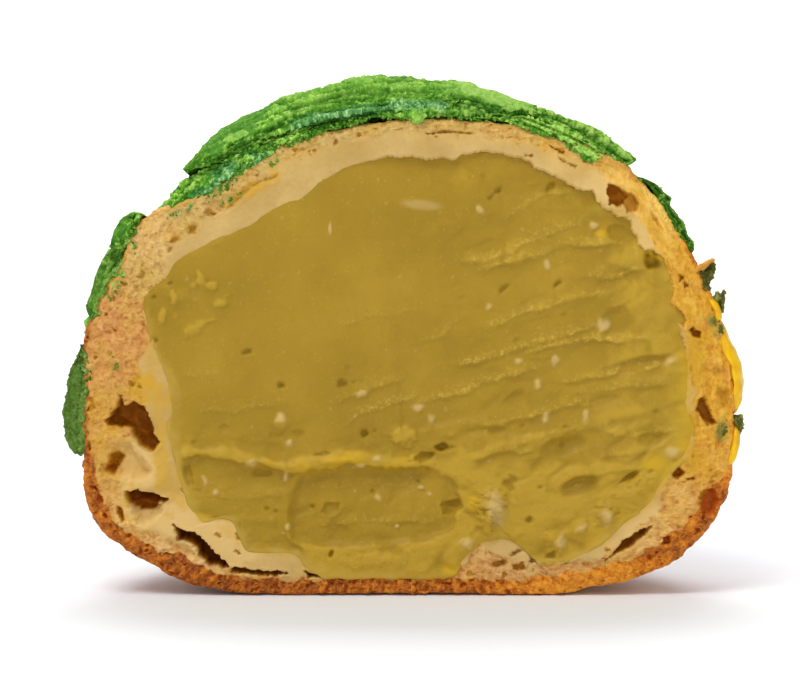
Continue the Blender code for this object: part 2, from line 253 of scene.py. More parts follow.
# The edge of the cream on the cut, from the crown round by the left side.
CREAM_EDGE = Outline([
    (-2.8, 54.3), (-6.4, 53.6), (-9.4, 52.0), (-12.8, 49.4), (-14.8, 48.7), (-18.1, 46.7), (-20.0, 45.6),
    (-23.0, 44.3), (-24.7, 43.3), (-27.7, 41.6), (-29.6, 39.0), (-31.7, 36.9), (-31.7, 34.0),
    (-31.0, 31.5), (-29.1, 26.9), (-28.5, 22.9), (-29.1, 20.6), (-28.1, 16.7), (-27.4, 13.9),
    (-26.3, 11.2), (-24.8, 9.2), (-22.4, 9.6), (-20.8, 8.9), (-20.2, 7.0), (-18.8, 5.5), (-13.6, 5.0),
    (-12.2, 3.6), (-10.6, 2.6), (-8.4, 2.1), (-0.3, 2.1), (6.0, 2.3), (7.6, 4.6), (9.6, 6.4),
    (12.6, 7.0), (14.6, 6.0), (16.2, 4.5), (18.2, 4.0), (21.3, 4.5), (25.2, 6.9), (27.7, 9.1), (30.6, 10.9),
    (32.6, 14.1), (35.3, 17.4), (36.2, 20.5), (35.5, 23.2), (35.5, 27.1), (34.8, 29.7), (33.9, 33.7),
    (33.2, 36.2), (32.9, 39.1), (31.5, 41.6), (29.7, 42.4), (28.3, 44.5), (27.3, 46.2), (24.6, 47.7),
    (23.1, 49.7), (21.4, 50.2), (18.6, 51.5), (16.5, 52.5), (15.0, 53.6), (11.2, 54.5), (8.6, 54.6),
    (6.2, 53.9), (0.2, 53.9),
])


def bun_reach(direction):
    """How far the choux skin is from the bun's heart in each direction, before its lumps."""
    across, back, up = direction[..., 0], direction[..., 1], direction[..., 2]
    level = np.hypot(across, back)
    slope = np.arctan2(up, level)
    share = 0.5 - 0.5 * across / np.maximum(level, 1e-9)
    return SKIN(slope) * (1 - share) + SKIN(np.pi - slope) * share


def crust_relief(points):
    """How far the baked skin stands out, in lumps, wrinkles and blisters."""
    free = ramp(points[..., 2], 0.4, 5.0)
    lumps = swell(points, 13.0, 3) * 0.9 * ramp(points[..., 1], 0.0, 9.0)
    wrinkles = rough(points, 3.2, 5, 4) * (0.42 + 0.25 * ramp(points[..., 1], 5.0, 12.0))
    cracked = ramp(np.abs(swell(points, 5.0, 9)), 0.09, 0.0) * ramp(points[..., 1], 6.0, 12.0)
    near, nearly, own = grains(points, 1.4, 8)
    blisters = (0.45 - near) * (0.15 + 0.3 * own)
    fine = rough(points, 0.9, 6, 2) * 0.14
    return (lumps + wrinkles - 0.35 * cracked) * (0.4 + 0.6 * free) + fine + blisters * (0.6 + 0.4 * free) - 0.22 * (1 - free)


def on_skin(turn, back, above=0.0, relief=True):
    """Points on the bun: turn is the angle on the cut and back the angle behind it, in radians."""
    direction = np.stack([np.cos(turn) * np.cos(back), np.sin(back) + 0 * turn,
                          np.sin(turn) * np.cos(back)], axis=-1)
    heart = np.array((0.0, 0.0, HEART))
    reach = bun_reach(direction)
    points = heart + direction * reach[..., None]
    if relief:
        above = above + crust_relief(points)
    return heart + direction * (reach + above)[..., None]


# ---------------------------------------------------------------- mesh helpers
def deselect():
    if bpy.context.object and bpy.context.object.mode != "OBJECT":
        bpy.ops.object.mode_set(mode="OBJECT")
    bpy.ops.object.select_all(action="DESELECT")


def new_piece(name, primitive, **sizes):
    """Adds a primitive, selected by itself, and names it."""
    deselect()
    primitive(**sizes)
    piece = bpy.context.object
    piece.name = piece.data.name = name
    return piece


@contextmanager
def editing(piece):
    deselect()
    piece.select_set(True)
    bpy.context.view_layer.objects.active = piece
    bpy.ops.object.mode_set(mode="EDIT")
    yield
    bpy.ops.object.mode_set(mode="OBJECT")


def points_of(piece):
    flat = np.empty(len(piece.data.vertices) * 3, np.float32)
    piece.data.vertices.foreach_get("co", flat)
    return flat.reshape(-1, 3).astype(float)


def normals_of(piece):
    flat = np.empty(len(piece.data.vertices) * 3, np.float32)
    piece.data.vertices.foreach_get("normal", flat)
    return flat.reshape(-1, 3).astype(float)


def move_points(piece, points):
    piece.data.vertices.foreach_set("co", np.ravel(points).astype(np.float32))
    piece.data.update()


def mark(piece, name, values):
    """Keeps a number for each point of a piece, for its finish to read."""
    layer = piece.data.attributes.get(name) or piece.data.attributes.new(name, "FLOAT", "POINT")
    layer.data.foreach_set("value", np.ascontiguousarray(values, np.float32))


def marked(piece, name):
    """The numbers that mark() kept."""
    values = np.empty(len(piece.data.vertices), np.float32)
    piece.data.attributes[name].data.foreach_get("value", values)
    return values.astype(float)


def finish_piece(piece, look, slot, *nodes):
    piece.data.materials.clear()
    piece.data.materials.append(look)
    piece.data.shade_smooth()
    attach(piece, "root")
    if nodes:
        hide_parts(*nodes)
    return piece


def face_outward(piece):
    with editing(piece):
        bpy.ops.mesh.select_all(action="SELECT")
        bpy.ops.mesh.normals_make_consistent(inside=False)


def new_sheet(name, columns, rows):
    """A grid whose two ways are to be joined up: its piece, and each point's column and row."""
    sheet = new_piece(name, bpy.ops.mesh.primitive_grid_add, size=2.0,
                      x_subdivisions=columns, y_subdivisions=rows)
    square = points_of(sheet)
    column = np.rint((square[:, 0] + 1) / 2 * columns).astype(int)
    row = np.rint((square[:, 1] + 1) / 2 * rows).astype(int)
    return sheet, column, row


def join_up(piece):
    """Merges the points that lie in one place, fills open ends and faces the skin outward."""
    with editing(piece):
        bpy.ops.mesh.select_all(action="SELECT")
        bpy.ops.mesh.remove_doubles(threshold=1e-6)
        bpy.ops.mesh.fill_holes(sides=0)
        bpy.ops.mesh.select_all(action="SELECT")
        bpy.ops.mesh.normals_make_consistent(inside=False)


def as_disk(square):
    """The points of a square from -1 to 1 moved to a disk: their distance and angle."""
    u, v = square[:, 0], square[:, 1]
    across, up = u * np.sqrt(1 - v * v / 2), v * np.sqrt(1 - u * u / 2)
    return np.hypot(across, up), np.arctan2(up, across)


# ---------------------------------------------------------------- the cut cream
FLECKS = [  # pale bits in the cream: middle, half length, half width, tilt
    ((17.7, 40.9), 0.45, 0.6, 0), ((18.7, 29.1), 0.5, 0.75, 0), ((16.6, 26.2), 0.5, 0.85, 0),
    ((17.6, 22.1), 0.5, 0.9, 0), ((22.5, 22.2), 0.5, 0.85, 0), ((1.9, 23.2), 0.9, 0.55, 5),
    ((3.5, 22.0), 0.55, 0.6, 0), ((-13.9, 18.9), 0.6, 0.6, 0), ((-18.5, 16.5), 0.9, 0.6, 20),
    ((-14.4, 14.8), 0.4, 0.7, 0), ((-23.0, 12.9), 0.45, 0.45, 0), ((-24.3, 14.3), 0.4, 0.8, 10),
    ((-3.0, 12.2), 0.4, 0.6, 10), ((2.3, 13.4), 0.5, 0.35, 0), ((3.4, 12.6), 0.4, 0.4, 0),
    ((-14.1, 8.6), 0.4, 0.55, 0), ((-5.1, 16.1), 0.7, 0.35, 0), ((-15.0, 22.0), 0.8, 0.7, 0),
    ((24.6, 33.5), 1.0, 0.9, 15), ((25.1, 10.0), 0.9, 1.3, 0), ((22.1, 8.5), 0.8, 0.55, 35),
    ((19.5, 6.7), 0.8, 1.1, -20), ((7.9, 6.7), 0.9, 0.8, 0), ((9.5, 47.6), 0.45, 0.6, 30),
    ((10.6, 35.7), 0.4, 0.5, 0), ((23.3, 45.7), 0.8, 0.6, 20), ((33.2, 17.9), 0.9, 0.9, 0),
    ((-8.8, 45.2), 0.25, 1.0, 0), ((-5.0, 25.0), 0.9, 0.4, 20), ((-3.0, 17.0), 0.6, 0.45, 0),
    ((-0.7, 8.6), 0.3, 0.3, 0), ((33.0, 29.1), 0.8, 0.5, 20), ((14.2, 29.0), 0.5, 0.4, 0),
]
PITS = [  # bubbles that the knife opened: middle, half length, half width, tilt, depth
    ((-19.1, 30.2), 0.75, 0.38, 12, 0.9), ((-14.9, 26.0), 0.55, 0.5, 20, 1.0),
    ((-7.3, 26.2), 0.75, 0.6, -20, 1.0), ((-6.0, 26.5), 0.2, 0.2, 0, 0.5), ((-6.7, 28.1), 0.5, 0.5, 0, 0.3),
    ((-4.7, 20.1), 0.75, 0.6, 0, 1.1), ((-3.4, 20.4), 0.25, 0.25, 0, 0.5),
    ((-21.9, 20.7), 0.85, 0.55, 0, 0.45), ((-12.8, 20.0), 0.85, 0.65, 10, 0.55), ((-15.6, 19.8), 1.2, 0.5, 5, 0.35),
    ((-30.6, 31.4), 0.7, 0.45, 30, 1.0), ((-8.7, 5.3), 0.4, 0.75, -10, 1.0),
    ((15.6, 9.5), 0.45, 0.55, 0, 0.9), ((-8.6, 10.7), 1.4, 0.95, 5, 0.8),
    ((19.0, 38.5), 0.95, 0.34, 42, 0.9), ((12.5, 37.9), 1.2, 0.36, 45, 0.7),
    ((11.4, 49.7), 1.2, 0.36, 45, 0.65), ((18.0, 50.4), 1.1, 0.4, 45, 0.8),
    ((18.4, 5.1), 0.7, 0.5, 40, 0.9), ((30.6, 41.3), 0.9, 1.3, 30, 2.2), ((-28.4, 38.6), 0.35, 0.3, 0, 0.5), ((-17.4, 15.3), 1.6, 0.55, 0, 0.7),
    ((-26.4, 14.9), 0.7, 1.7, 8, 0.8), ((-9.9, 17.6), 1.2, 0.3, 8, 0.5), ((6.1, 11.1), 1.4, 1.0, 30, 1.3),
    ((13.2, 13.9), 0.9, 1.2, 0, 0.8), ((2.7, 17.2), 1.6, 0.6, 12, 1.3), ((4.9, 18.4), 1.2, 0.55, 8, 2.0),
    ((22.0, 31.4), 0.5, 0.3, 30, 0.3), ((19.7, 34.8), 0.4, 0.3, 30, 0.4), ((-20.2, 8.2), 0.3, 1.3, -8, 0.6),
]
HOLLOWS = [  # broad dips left by the knife: middle, half length, half width, tilt, depth
    ((19.8, 18.5), 3.3, 1.35, 16, 0.95), ((21.8, 13.7), 3.1, 1.25, 18, 0.95), ((27.5, 14.2), 2.6, 0.55, 38, 0.9),
    ((30.4, 19.4), 2.0, 1.0, 10, 0.55), ((26.5, 34.0), 2.6, 1.9, 20, 0.5), ((28.6, 28.6), 5.0, 0.9, 13, 0.75),
    ((10.5, 20.4), 3.4, 0.7, 5, 0.5), ((26.6, 44.6), 1.9, 1.3, -20, 0.7), ((24.5, 24.0), 3.0, 0.8, 12, 0.4),
    ((13.4, 24.1), 2.4, 0.8, 40, 0.35), ((22.5, 38.2), 3.4, 1.2, 12, 0.3), ((30.5, 24.5), 2.4, 2.6, 0, 0.35),
]
LUMPS = [  # torn or folded cream that stands out: middle, half length, half width, tilt, height
    ((10.9, 11.6), 2.3, 2.0, 20, 1.3), ((10.4, 9.2), 1.3, 1.8, 0, 1.2), ((0.2, 19.8), 2.0, 1.5, 0, 0.55),
    ((27.8, 12.2), 4.6, 2.0, 42, 0.75), ((24.9, 10.2), 1.3, 1.7, 20, 0.9), ((21.6, 8.4), 1.4, 0.9, 35, 0.8),
    ((18.9, 6.9), 1.6, 1.8, 0, 0.8), ((29.5, 41.5), 3.0, 1.2, 5, 0.45), ((29.5, 36.4), 2.4, 2.2, 30, 0.45),
    ((-24.6, 39.0), 0.8, 1.1, 20, 0.5), ((-23.0, 38.2), 0.8, 0.6, 0, 0.5), ((-28.0, 36.8), 0.5, 0.9, 20, 0.5),
    ((-22.3, 36.2), 1.1, 0.6, 25, 0.45), ((-29.4, 34.5), 0.7, 1.0, 0, 0.35), ((-25.5, 33.0), 2.6, 0.9, 30, 0.35),
    ((-15.2, 21.4), 1.4, 1.0, 0, 0.3), ((15.0, 19.4), 3.0, 0.9, 10, 0.3), ((33.6, 29.3), 1.6, 0.8, 10, 0.4),
    ((-15.8, 16.2), 2.4, 0.7, -6, 0.3), ((-7.6, 16.7), 2.6, 0.55, 6, 0.35), ((-4.0, 4.5), 3.6, 1.2, 3, 0.3),
]
SMEARS = [  # ridges dragged by the knife, from left to right: line, drop below, roughness of the crest
    ([(6.1, 40.5), (11.8, 42.1), (18.3, 45.0), (24.1, 45.9)], 0.22, 0.9),
    ([(8.1, 39.9), (15.5, 41.7), (19.6, 43.1), (28.1, 43.7)], 0.40, 0.6),
    ([(23.2, 39.1), (29.8, 40.5)], 0.30, 0.8),
    ([(5.7, 28.2), (12.2, 29.9), (17.1, 31.5), (25.3, 33.8)], 0.34, 0.9),
    ([(13.8, 29.7), (21.2, 31.5), (26.5, 31.6), (31.5, 32.4)], 0.42, 0.7),
    ([(0.3, 23.5), (7.7, 25.4), (13.8, 27.6), (18.3, 28.7)], 0.36, 0.9),
    ([(18.3, 26.4), (23.2, 27.2), (27.3, 28.0), (33.3, 29.1)], 0.48, 0.6),
    ([(-9.1, 23.4), (-4.6, 25.4), (0.8, 27.2)], 0.28, 0.5),
    ([(-7.0, 21.6), (-2.1, 23.6), (2.6, 25.0)], 0.24, 0.9),
    ([(6.9, 20.9), (12.6, 21.5), (19.6, 23.3), (24.9, 23.7)], 0.34, 0.5),
    ([(16.2, 18.6), (17.9, 20.0), (22.0, 20.7), (29.4, 20.1), (34.3, 21.0)], 0.30, 0.4),
    ([(-27.0, 27.3), (-22.1, 27.8)], 0.22, 0.6),
    ([(7.7, 17.0), (12.4, 17.9), (16.7, 18.4)], 0.35, 0.3),
    ([(18.7, 12.9), (20.4, 14.4), (24.1, 15.3), (29.8, 15.9)], 0.32, 0.3),
    ([(-8.3, 33.5), (-2.0, 34.9), (3.5, 35.4)], 0.12, 0.3),
    ([(0.0, 30.6), (4.8, 32.4), (9.0, 35.6)], 0.20, 0.3),
    ([(12.0, 46.3), (16.5, 48.9), (21.0, 50.0)], 0.20, 0.4),
    ([(9.8, 32.8), (15.4, 35.2), (21.0, 36.6), (26.0, 37.2)], 0.30, 0.7),
    ([(20.0, 25.0), (26.0, 25.6), (33.6, 26.4)], 0.26, 0.5),
    ([(-26.5, 23.3), (-20.0, 23.0), (-13.0, 23.9)], 0.16, 0.4),
    ([(24.0, 17.2), (28.5, 17.8), (33.0, 18.9)], 0.30, 0.3),
    ([(-25.6, 12.5), (-20.0, 12.2), (-14.4, 12.6)], 0.16, 0.3),
    ([(-11.8, 13.3), (-4.0, 13.8), (4.6, 13.4)], 0.14, 0.3),
    ([(-11.5, 8.6), (-3.0, 9.3), (5.5, 9.0)], 0.18, 0.4),
]
LEDGE = [(-27.4, 17.2), (-23.0, 17.3), (-18.9, 16.8), (-14.4, 15.7), (-10.3, 15.9), (-7.0, 16.7), (-4.6, 16.2),
         (1.6, 16.1), (4.6, 16.4)]
BASIN = smooth_loop([(-13.6, 12.6), (-12.2, 14.6), (-9.6, 15.7), (-4.0, 16.0), (3.6, 15.9), (6.6, 14.2),
                     (7.2, 10.4), (5.0, 7.2), (-3.0, 6.2), (-10.0, 6.0), (-13.4, 7.4), (-14.0, 10.2)], 5)
CREAM_STEPS = 296  # squares along a side of the cream's grid


def along(x, z, line):
    """Distance from a line, above 0 on its upper side, and the share of the way along it."""
    points = np.asarray(line, float)
    lengths = np.hypot(*np.diff(points, axis=0).T)
    starts = np.concatenate([[0], np.cumsum(lengths)])
    best, signed, share = np.full(x.shape, 1e9), np.zeros(x.shape), np.zeros(x.shape)
    for number, (start, end) in enumerate(zip(points[:-1], points[1:])):
        run, rise = (end - start) / lengths[number]
        ahead = (x - start[0]) * run + (z - start[1]) * rise
        aside = (z - start[1]) * run - (x - start[0]) * rise
        held = np.clip(ahead, 0, lengths[number])
        away = np.hypot(ahead - held, aside)
        nearer = away < best
        best = np.where(nearer, away, best)
        signed = np.where(nearer, np.where(aside > 0, away, -away), signed)
        share = np.where(nearer, (starts[number] + held) / starts[-1], share)
    return signed, share


def cream_relief(x, z, inset):
    """The cut cream: how far it lies behind the knife, and where it is pale, yellow or crumbly; also where a painted
    highlight lies on its crests, and how low it lies, which sets its painted shade and painted light.
    """
    flat = np.stack([x, 0 * x, z], axis=-1)
    torn = np.clip(ramp(x, -2.0, 14.0) * 0.7 + ramp(z, 26.0, 16.0) * 0.8, 0, 1)  # where the knife tore the cream
    slope = math.radians(15)
    lengthwise = x * math.cos(slope) + z * math.sin(slope)
    crosswise = z * math.cos(slope) - x * math.sin(slope)
    dragged = np.stack([lengthwise / 3.2, 0 * x, crosswise], axis=-1)
    depth = swell(flat, 15.0, 21) * 0.40 + swell(dragged, 2.6, 22) * (0.08 + 0.14 * torn)
    depth += rough(flat, 1.4, 23, 3) * (0.05 + 0.05 * torn) + rough(dragged, 0.8, 24, 2) * 0.03 * torn

    # The ridges, with a rough crest and a drop below each.
    wavy_x = x + 0.5 * swell(flat, 3.2, 31)
    wavy_z = z + 0.45 * swell(flat, 3.2, 32) + 0.18 * swell(flat, 1.0, 33)
    grain = 0.5 + 0.9 * rough(flat, 0.7, 34, 2)
    # crest: where pale specks are painted along the ridges' crests, a painted highlight
    crest = np.zeros_like(x)
    for number, (line, drop, jagged) in enumerate(SMEARS):
        signed, share = along(wavy_x, wavy_z, smooth_line(line))
        fade = ramp(share, 0.0, 0.14) * ramp(share, 1.0, 0.84) * (0.8 + 0.5 * swell(flat, 5.0, 35 + number))
        above, below = np.maximum(signed, 0), np.maximum(-signed, 0)
        lip = np.exp(-(above / 0.85) ** 2) * np.exp(-(below / 0.28) ** 2)
        depth -= fade * drop * 0.42 * np.exp(-above / 1.3) * np.exp(-(below / 0.25) ** 2)
        depth += fade * drop * 0.55 * ramp(below, 0.0, 0.45) * np.exp(-below / 1.7)
        depth -= fade * lip * jagged * 0.16 * grain
        crest = np.maximum(crest, np.clip(fade * lip * jagged * grain, 0, 1))

    # Soft pillows with creases between, in the torn half.
    creases = np.abs(swell(np.stack([lengthwise / 1.7, 0 * x, crosswise], axis=-1), 3.4, 54))
    depth += ramp(creases, 0.30, 0.0) * 0.26 * torn * ramp(swell(flat, 6.0, 55), -0.6, 0.3)

    # The torn ledge across the lower left, and the basin below it.
    signed, share = along(x, wavy_z + 0.15 * swell(flat, 0.9, 41), smooth_line(LEDGE))
    fade = ramp(share, 0.0, 0.03) * ramp(share, 1.0, 0.9)
    below = np.maximum(-signed, 0)
    ledge = np.exp(-((signed - 0.45) / 0.7) ** 2) * fade
    depth -= ledge * (0.40 + 0.35 * swell(flat, 1.8, 42))
    depth += 0.55 * fade * ramp(below, 0.0, 0.45) * np.exp(-below / 5.0)
    basin = within(x + 0.5 * swell(flat, 2.2, 44), z + 0.4 * swell(flat, 2.2, 43), BASIN)
    depth += 0.62 * ramp(basin, -0.2, 0.9) * (1 - 0.35 * ramp(basin, 1.0, 4.0))
    rim = np.exp(-((basin + 0.55) / 0.45) ** 2) * ramp(x, -10.0, -12.5)
    depth -= 0.25 * rim

    for middle, long, wide, tilt, high in LUMPS:
        away = spot(x, z, middle, (long, wide), tilt) + (0.9 if long < 1.3 else 0.45) * rough(flat, 1.3, 45, 3, 0.7)
        depth -= high * (1 - ramp(away, 0.25, 1.15)) * (1 - 0.25 * (1 - ramp(z - middle[1], -wide, wide)))
    for middle, long, wide, tilt, deep in HOLLOWS:
        away = spot(x, z, middle, (long, wide), tilt) + 0.15 * swell(flat, 2.0, 48)
        above = (z - middle[1]) / wide
        depth += deep * (1 - ramp(away, 0.45, 1.08)) * (0.65 + 0.35 * np.clip(above, -1, 1))
    for middle, long, wide, tilt, deep in PITS:
        away = spot(x, z, middle, (long, wide), tilt) + 0.55 * swell(flat, 0.9, 47)
        depth += 0.6 * deep * (1 - ramp(away, 0.35, 1.1))

    # Small tears and crumbs, most where the cream is torn.
    shoulder = 1 - ramp(spot(x, z, (-27.0, 36.0), (5.4, 6.0), 0), 0.6, 1.1)
    rougher = np.clip(torn * 0.8 + shoulder, 0, 1)
    near, nearly, own = grains(flat, 1.9, 52)
    depth -= (1 - ramp(near, 0.08, 0.34)) * (own > 0.72) * 0.22 * rougher
    depth += (1 - ramp(near, 0.05, 0.22)) * (own < 0.14) * 0.35 * (0.25 + rougher)
    depth += rough(flat, 3.0, 53, 3) * (0.22 * torn + 0.24 * shoulder)

    pale = np.zeros_like(x)
    for middle, long, wide, tilt in FLECKS:
        away = spot(x, z, middle, (long, wide), tilt) + 0.5 * swell(flat, 0.8, 61)
        depth -= 0.26 * (1 - ramp(away, 0.3, 1.15))
        pale = np.maximum(pale, 0.8 * (1 - ramp(away, 0.35, 1.2)))
    near, nearly, own = grains(flat, 1.5, 62)
    specks = (1 - ramp(near, 0.06, 0.16)) * (own > 0.7)
    depth -= 0.07 * specks
    pale = np.maximum(pale, 0.38 * specks)
    pale = np.maximum(pale, 0.8 * (1 - ramp(spot(x, z, (11.5, 10.9), (1.2, 2.6), 8), 0.5, 1.15)))
    pale = np.maximum(pale, 0.45 * (1 - ramp(spot(x, z, (2.3, 48.2), (2.8, 0.7), -6), 0.5, 1.15)))

    yellow = 0.75 * ledge * ramp(swell(flat, 2.6, 64), -0.15, 0.35) * ramp(x, -18.0, -10.0)
    for middle, long, wide in (((8.7, 11.6), 0.8, 1.2), ((5.9, 3.3), 1.5, 0.9), ((-7.3, 17.0), 3.0, 0.6),
                               ((31.0, 16.4), 1.8, 1.2), ((35.0, 18.5), 2.0, 1.6), ((-29.0, 21.6), 0.6, 2.2),
                               ((-25.0, 9.6), 1.8, 0.8), ((24.3, 44.7), 0.9, 0.6), ((30.8, 41.9), 1.5, 0.8)):
        yellow = np.maximum(yellow, 0.9 * (1 - ramp(spot(x, z, middle, (long, wide)), 0.3, 1.15)))
    yellow = np.maximum(yellow, 0.55 * ramp(inset, 3.0, 0.3) * ramp(x, 14.0, 26.0) * ramp(z, 36.0, 28.0))
    # low: how deep the cream lies, for painted shade in the recesses and painted light on the raised parts; taken lower
    # at the lower left and the right, which paints light there
    low = 0.30 + (depth - swell(flat, 15.0, 21) * 0.40) * 0.8
    low = np.clip(low - 0.35 * ramp(z, 19.0, 15.0) * ramp(x, -16.0, -10.0) - 0.2 * ramp(x, 20.0, 30.0), 0, 1)
    return depth, pale, yellow, crest, low


def cream_under(turn):
    """1 where the cream's edge goes under the choux lining, and 0 where it lies over it."""
    degrees = np.mod(np.degrees(turn), 360)
    return ramp(degrees, 8, 20) * ramp(degrees, 99, 90)


def runs_thin(x, z):
    """1 at the lower left and along the bottom, where the cream runs thin over the choux."""
    return np.maximum(ramp(x, -14.0, -22.0) * ramp(z, 33.0, 28.0), ramp(z, 11.0, 7.0))


def make_cream(look):
    cream = new_piece("pistachio_cream_cut", bpy.ops.mesh.primitive_grid_add, size=2.0,
                      x_subdivisions=CREAM_STEPS, y_subdivisions=CREAM_STEPS)
    share, turn = as_disk(points_of(cream))
    edge_noise = swell(np.stack([np.cos(turn) * 30, 0 * turn, np.sin(turn) * 30], axis=-1), 2.2, 71)
    hidden = cream_under(turn)
    edge = CREAM_EDGE(turn) + 0.25 * edge_noise + 1.1 * hidden
    soft_edge = CREAM_EDGE.soft(turn, 14.0)
    radius = share * soft_edge + (edge - soft_edge) * ramp(share, 0.6, 1.0)
    x, z = np.cos(turn) * radius, HEART + np.sin(turn) * radius
    inset = edge - radius
    depth, pale, yellow, crest, low = cream_relief(x, z, inset)
    depth = np.clip(depth, -1.5, 3.4) * ramp(inset, 0.0, 1.2)
    depth += 0.55 * hidden * ramp(inset, 7.0, 0.8)
    sunk = runs_thin(x, z)
    depth += (1 - hidden) * (1 - np.sqrt(1 - (1 - np.clip(inset / 0.55, 0, 1)) ** 2)) * (0.7 - 0.55 * sunk)
    depth -= (0.22 - 0.08 * sunk) * (1 - hidden)
    move_points(cream, placed(np.stack([x, depth, z], axis=-1)))
    mark(cream, "pale", pale)
    mark(cream, "yellow", yellow)
    mark(cream, "crest", crest)
    mark(cream, "low", low)
    thin = ramp(inset + 1.1 * rough(np.stack([x, 0 * x, z], axis=-1), 2.4, 73, 4, 0.7), 1.9, 0.1)
    at_right = ramp(x, 8.0, 14.0) * ramp(z, 22.0, 12.0)
    mark(cream, "edge", thin * (1 - hidden) * np.maximum(ramp(x, 8.0, -6.0) * ramp(z, 38.0, 30.0), at_right))
    with editing(cream):
        bpy.ops.mesh.select_mode(type="EDGE")
        bpy.ops.mesh.select_all(action="SELECT")
        bpy.ops.mesh.region_to_loop()
        middle = placed((0, 0, 28.0))
        for back, shrink in ((4.0, 0.985), (9.0, 0.93), (9.0, 0.80), (7.0, 0.55)):
            bpy.ops.mesh.extrude_edges_move(TRANSFORM_OT_translate={"value": (0, back * SCALE, 0)})
            bpy.ops.transform.resize(value=(shrink, 1, shrink), center_override=tuple(middle))
        bpy.ops.mesh.edge_face_add()
    face_outward(cream)
    return finish_piece(cream, look, "cream", "pistachio_cream")


# ---------------------------------------------------------------- the cut choux
# Round the cut: degrees, how wide the crust is, how far the crumb goes in, how brown the crust is, how
# golden the crumb is, how coarse it is and how rosy it is.
WALL = [
    (0, 0.3, 5.4, 0.06, 1.0, 0.3, 0.6), (25, 0.5, 4.8, 0.12, 1.0, 0.2, 0.5), (42, 0.9, 3.4, 0.0, 1.0, 0.1, 0.3),
    (60, 0.3, 2.2, 0.20, 0.5, 0.4, 0.1), (90, 0.3, 1.5, 0.25, 0.15, 0.8, 0.1), (112, 0.3, 2.1, 0.25, 0.15, 0.9, 0.1),
    (130, 0.3, 3.0, 0.25, 0.2, 1.0, 0.1), (145, 0.4, 5.6, 0.25, 0.15, 0.9, 0.2), (160, 0.4, 7.4, 0.6, 0.1, 1.0, 0.9),
    (168, 0.5, 7.6, 0.6, 0.25, 1.0, 0.7), (177, 0.8, 7.4, 0.6, 0.6, 0.9, 0.5), (186, 1.2, 4.6, 0.5, 0.5, 0.9, 0.4),
    (195, 2.2, 4.4, 0.5, 0.3, 0.7, 0.5), (212, 3.2, 4.6, 0.6, 0.1, 0.6, 0.7), (225, 2.6, 3.0, 0.58, 0.1, 0.6, 0.8),
    (245, 2.2, 2.4, 0.55, 0.1, 0.6, 0.8), (270, 1.9, 2.0, 0.48, 0.1, 0.6, 0.8), (292, 2.0, 3.4, 0.46, 0.1, 0.8, 0.8),
    (304, 2.2, 7.4, 0.3, 0.0, 0.9, 0.7), (314, 3.0, 5.6, 0.0, 0.0, 0.9, 0.5), (325, 3.2, 5.0, 0.05, 0.1, 0.8, 0.5),
    (338, 3.4, 6.8, 0.45, 0.3, 1.0, 0.9), (349, 2.4, 6.8, 0.5, 0.6, 0.8, 0.8), (355, 0.5, 6.0, 0.1, 0.9, 0.5, 0.7),
]
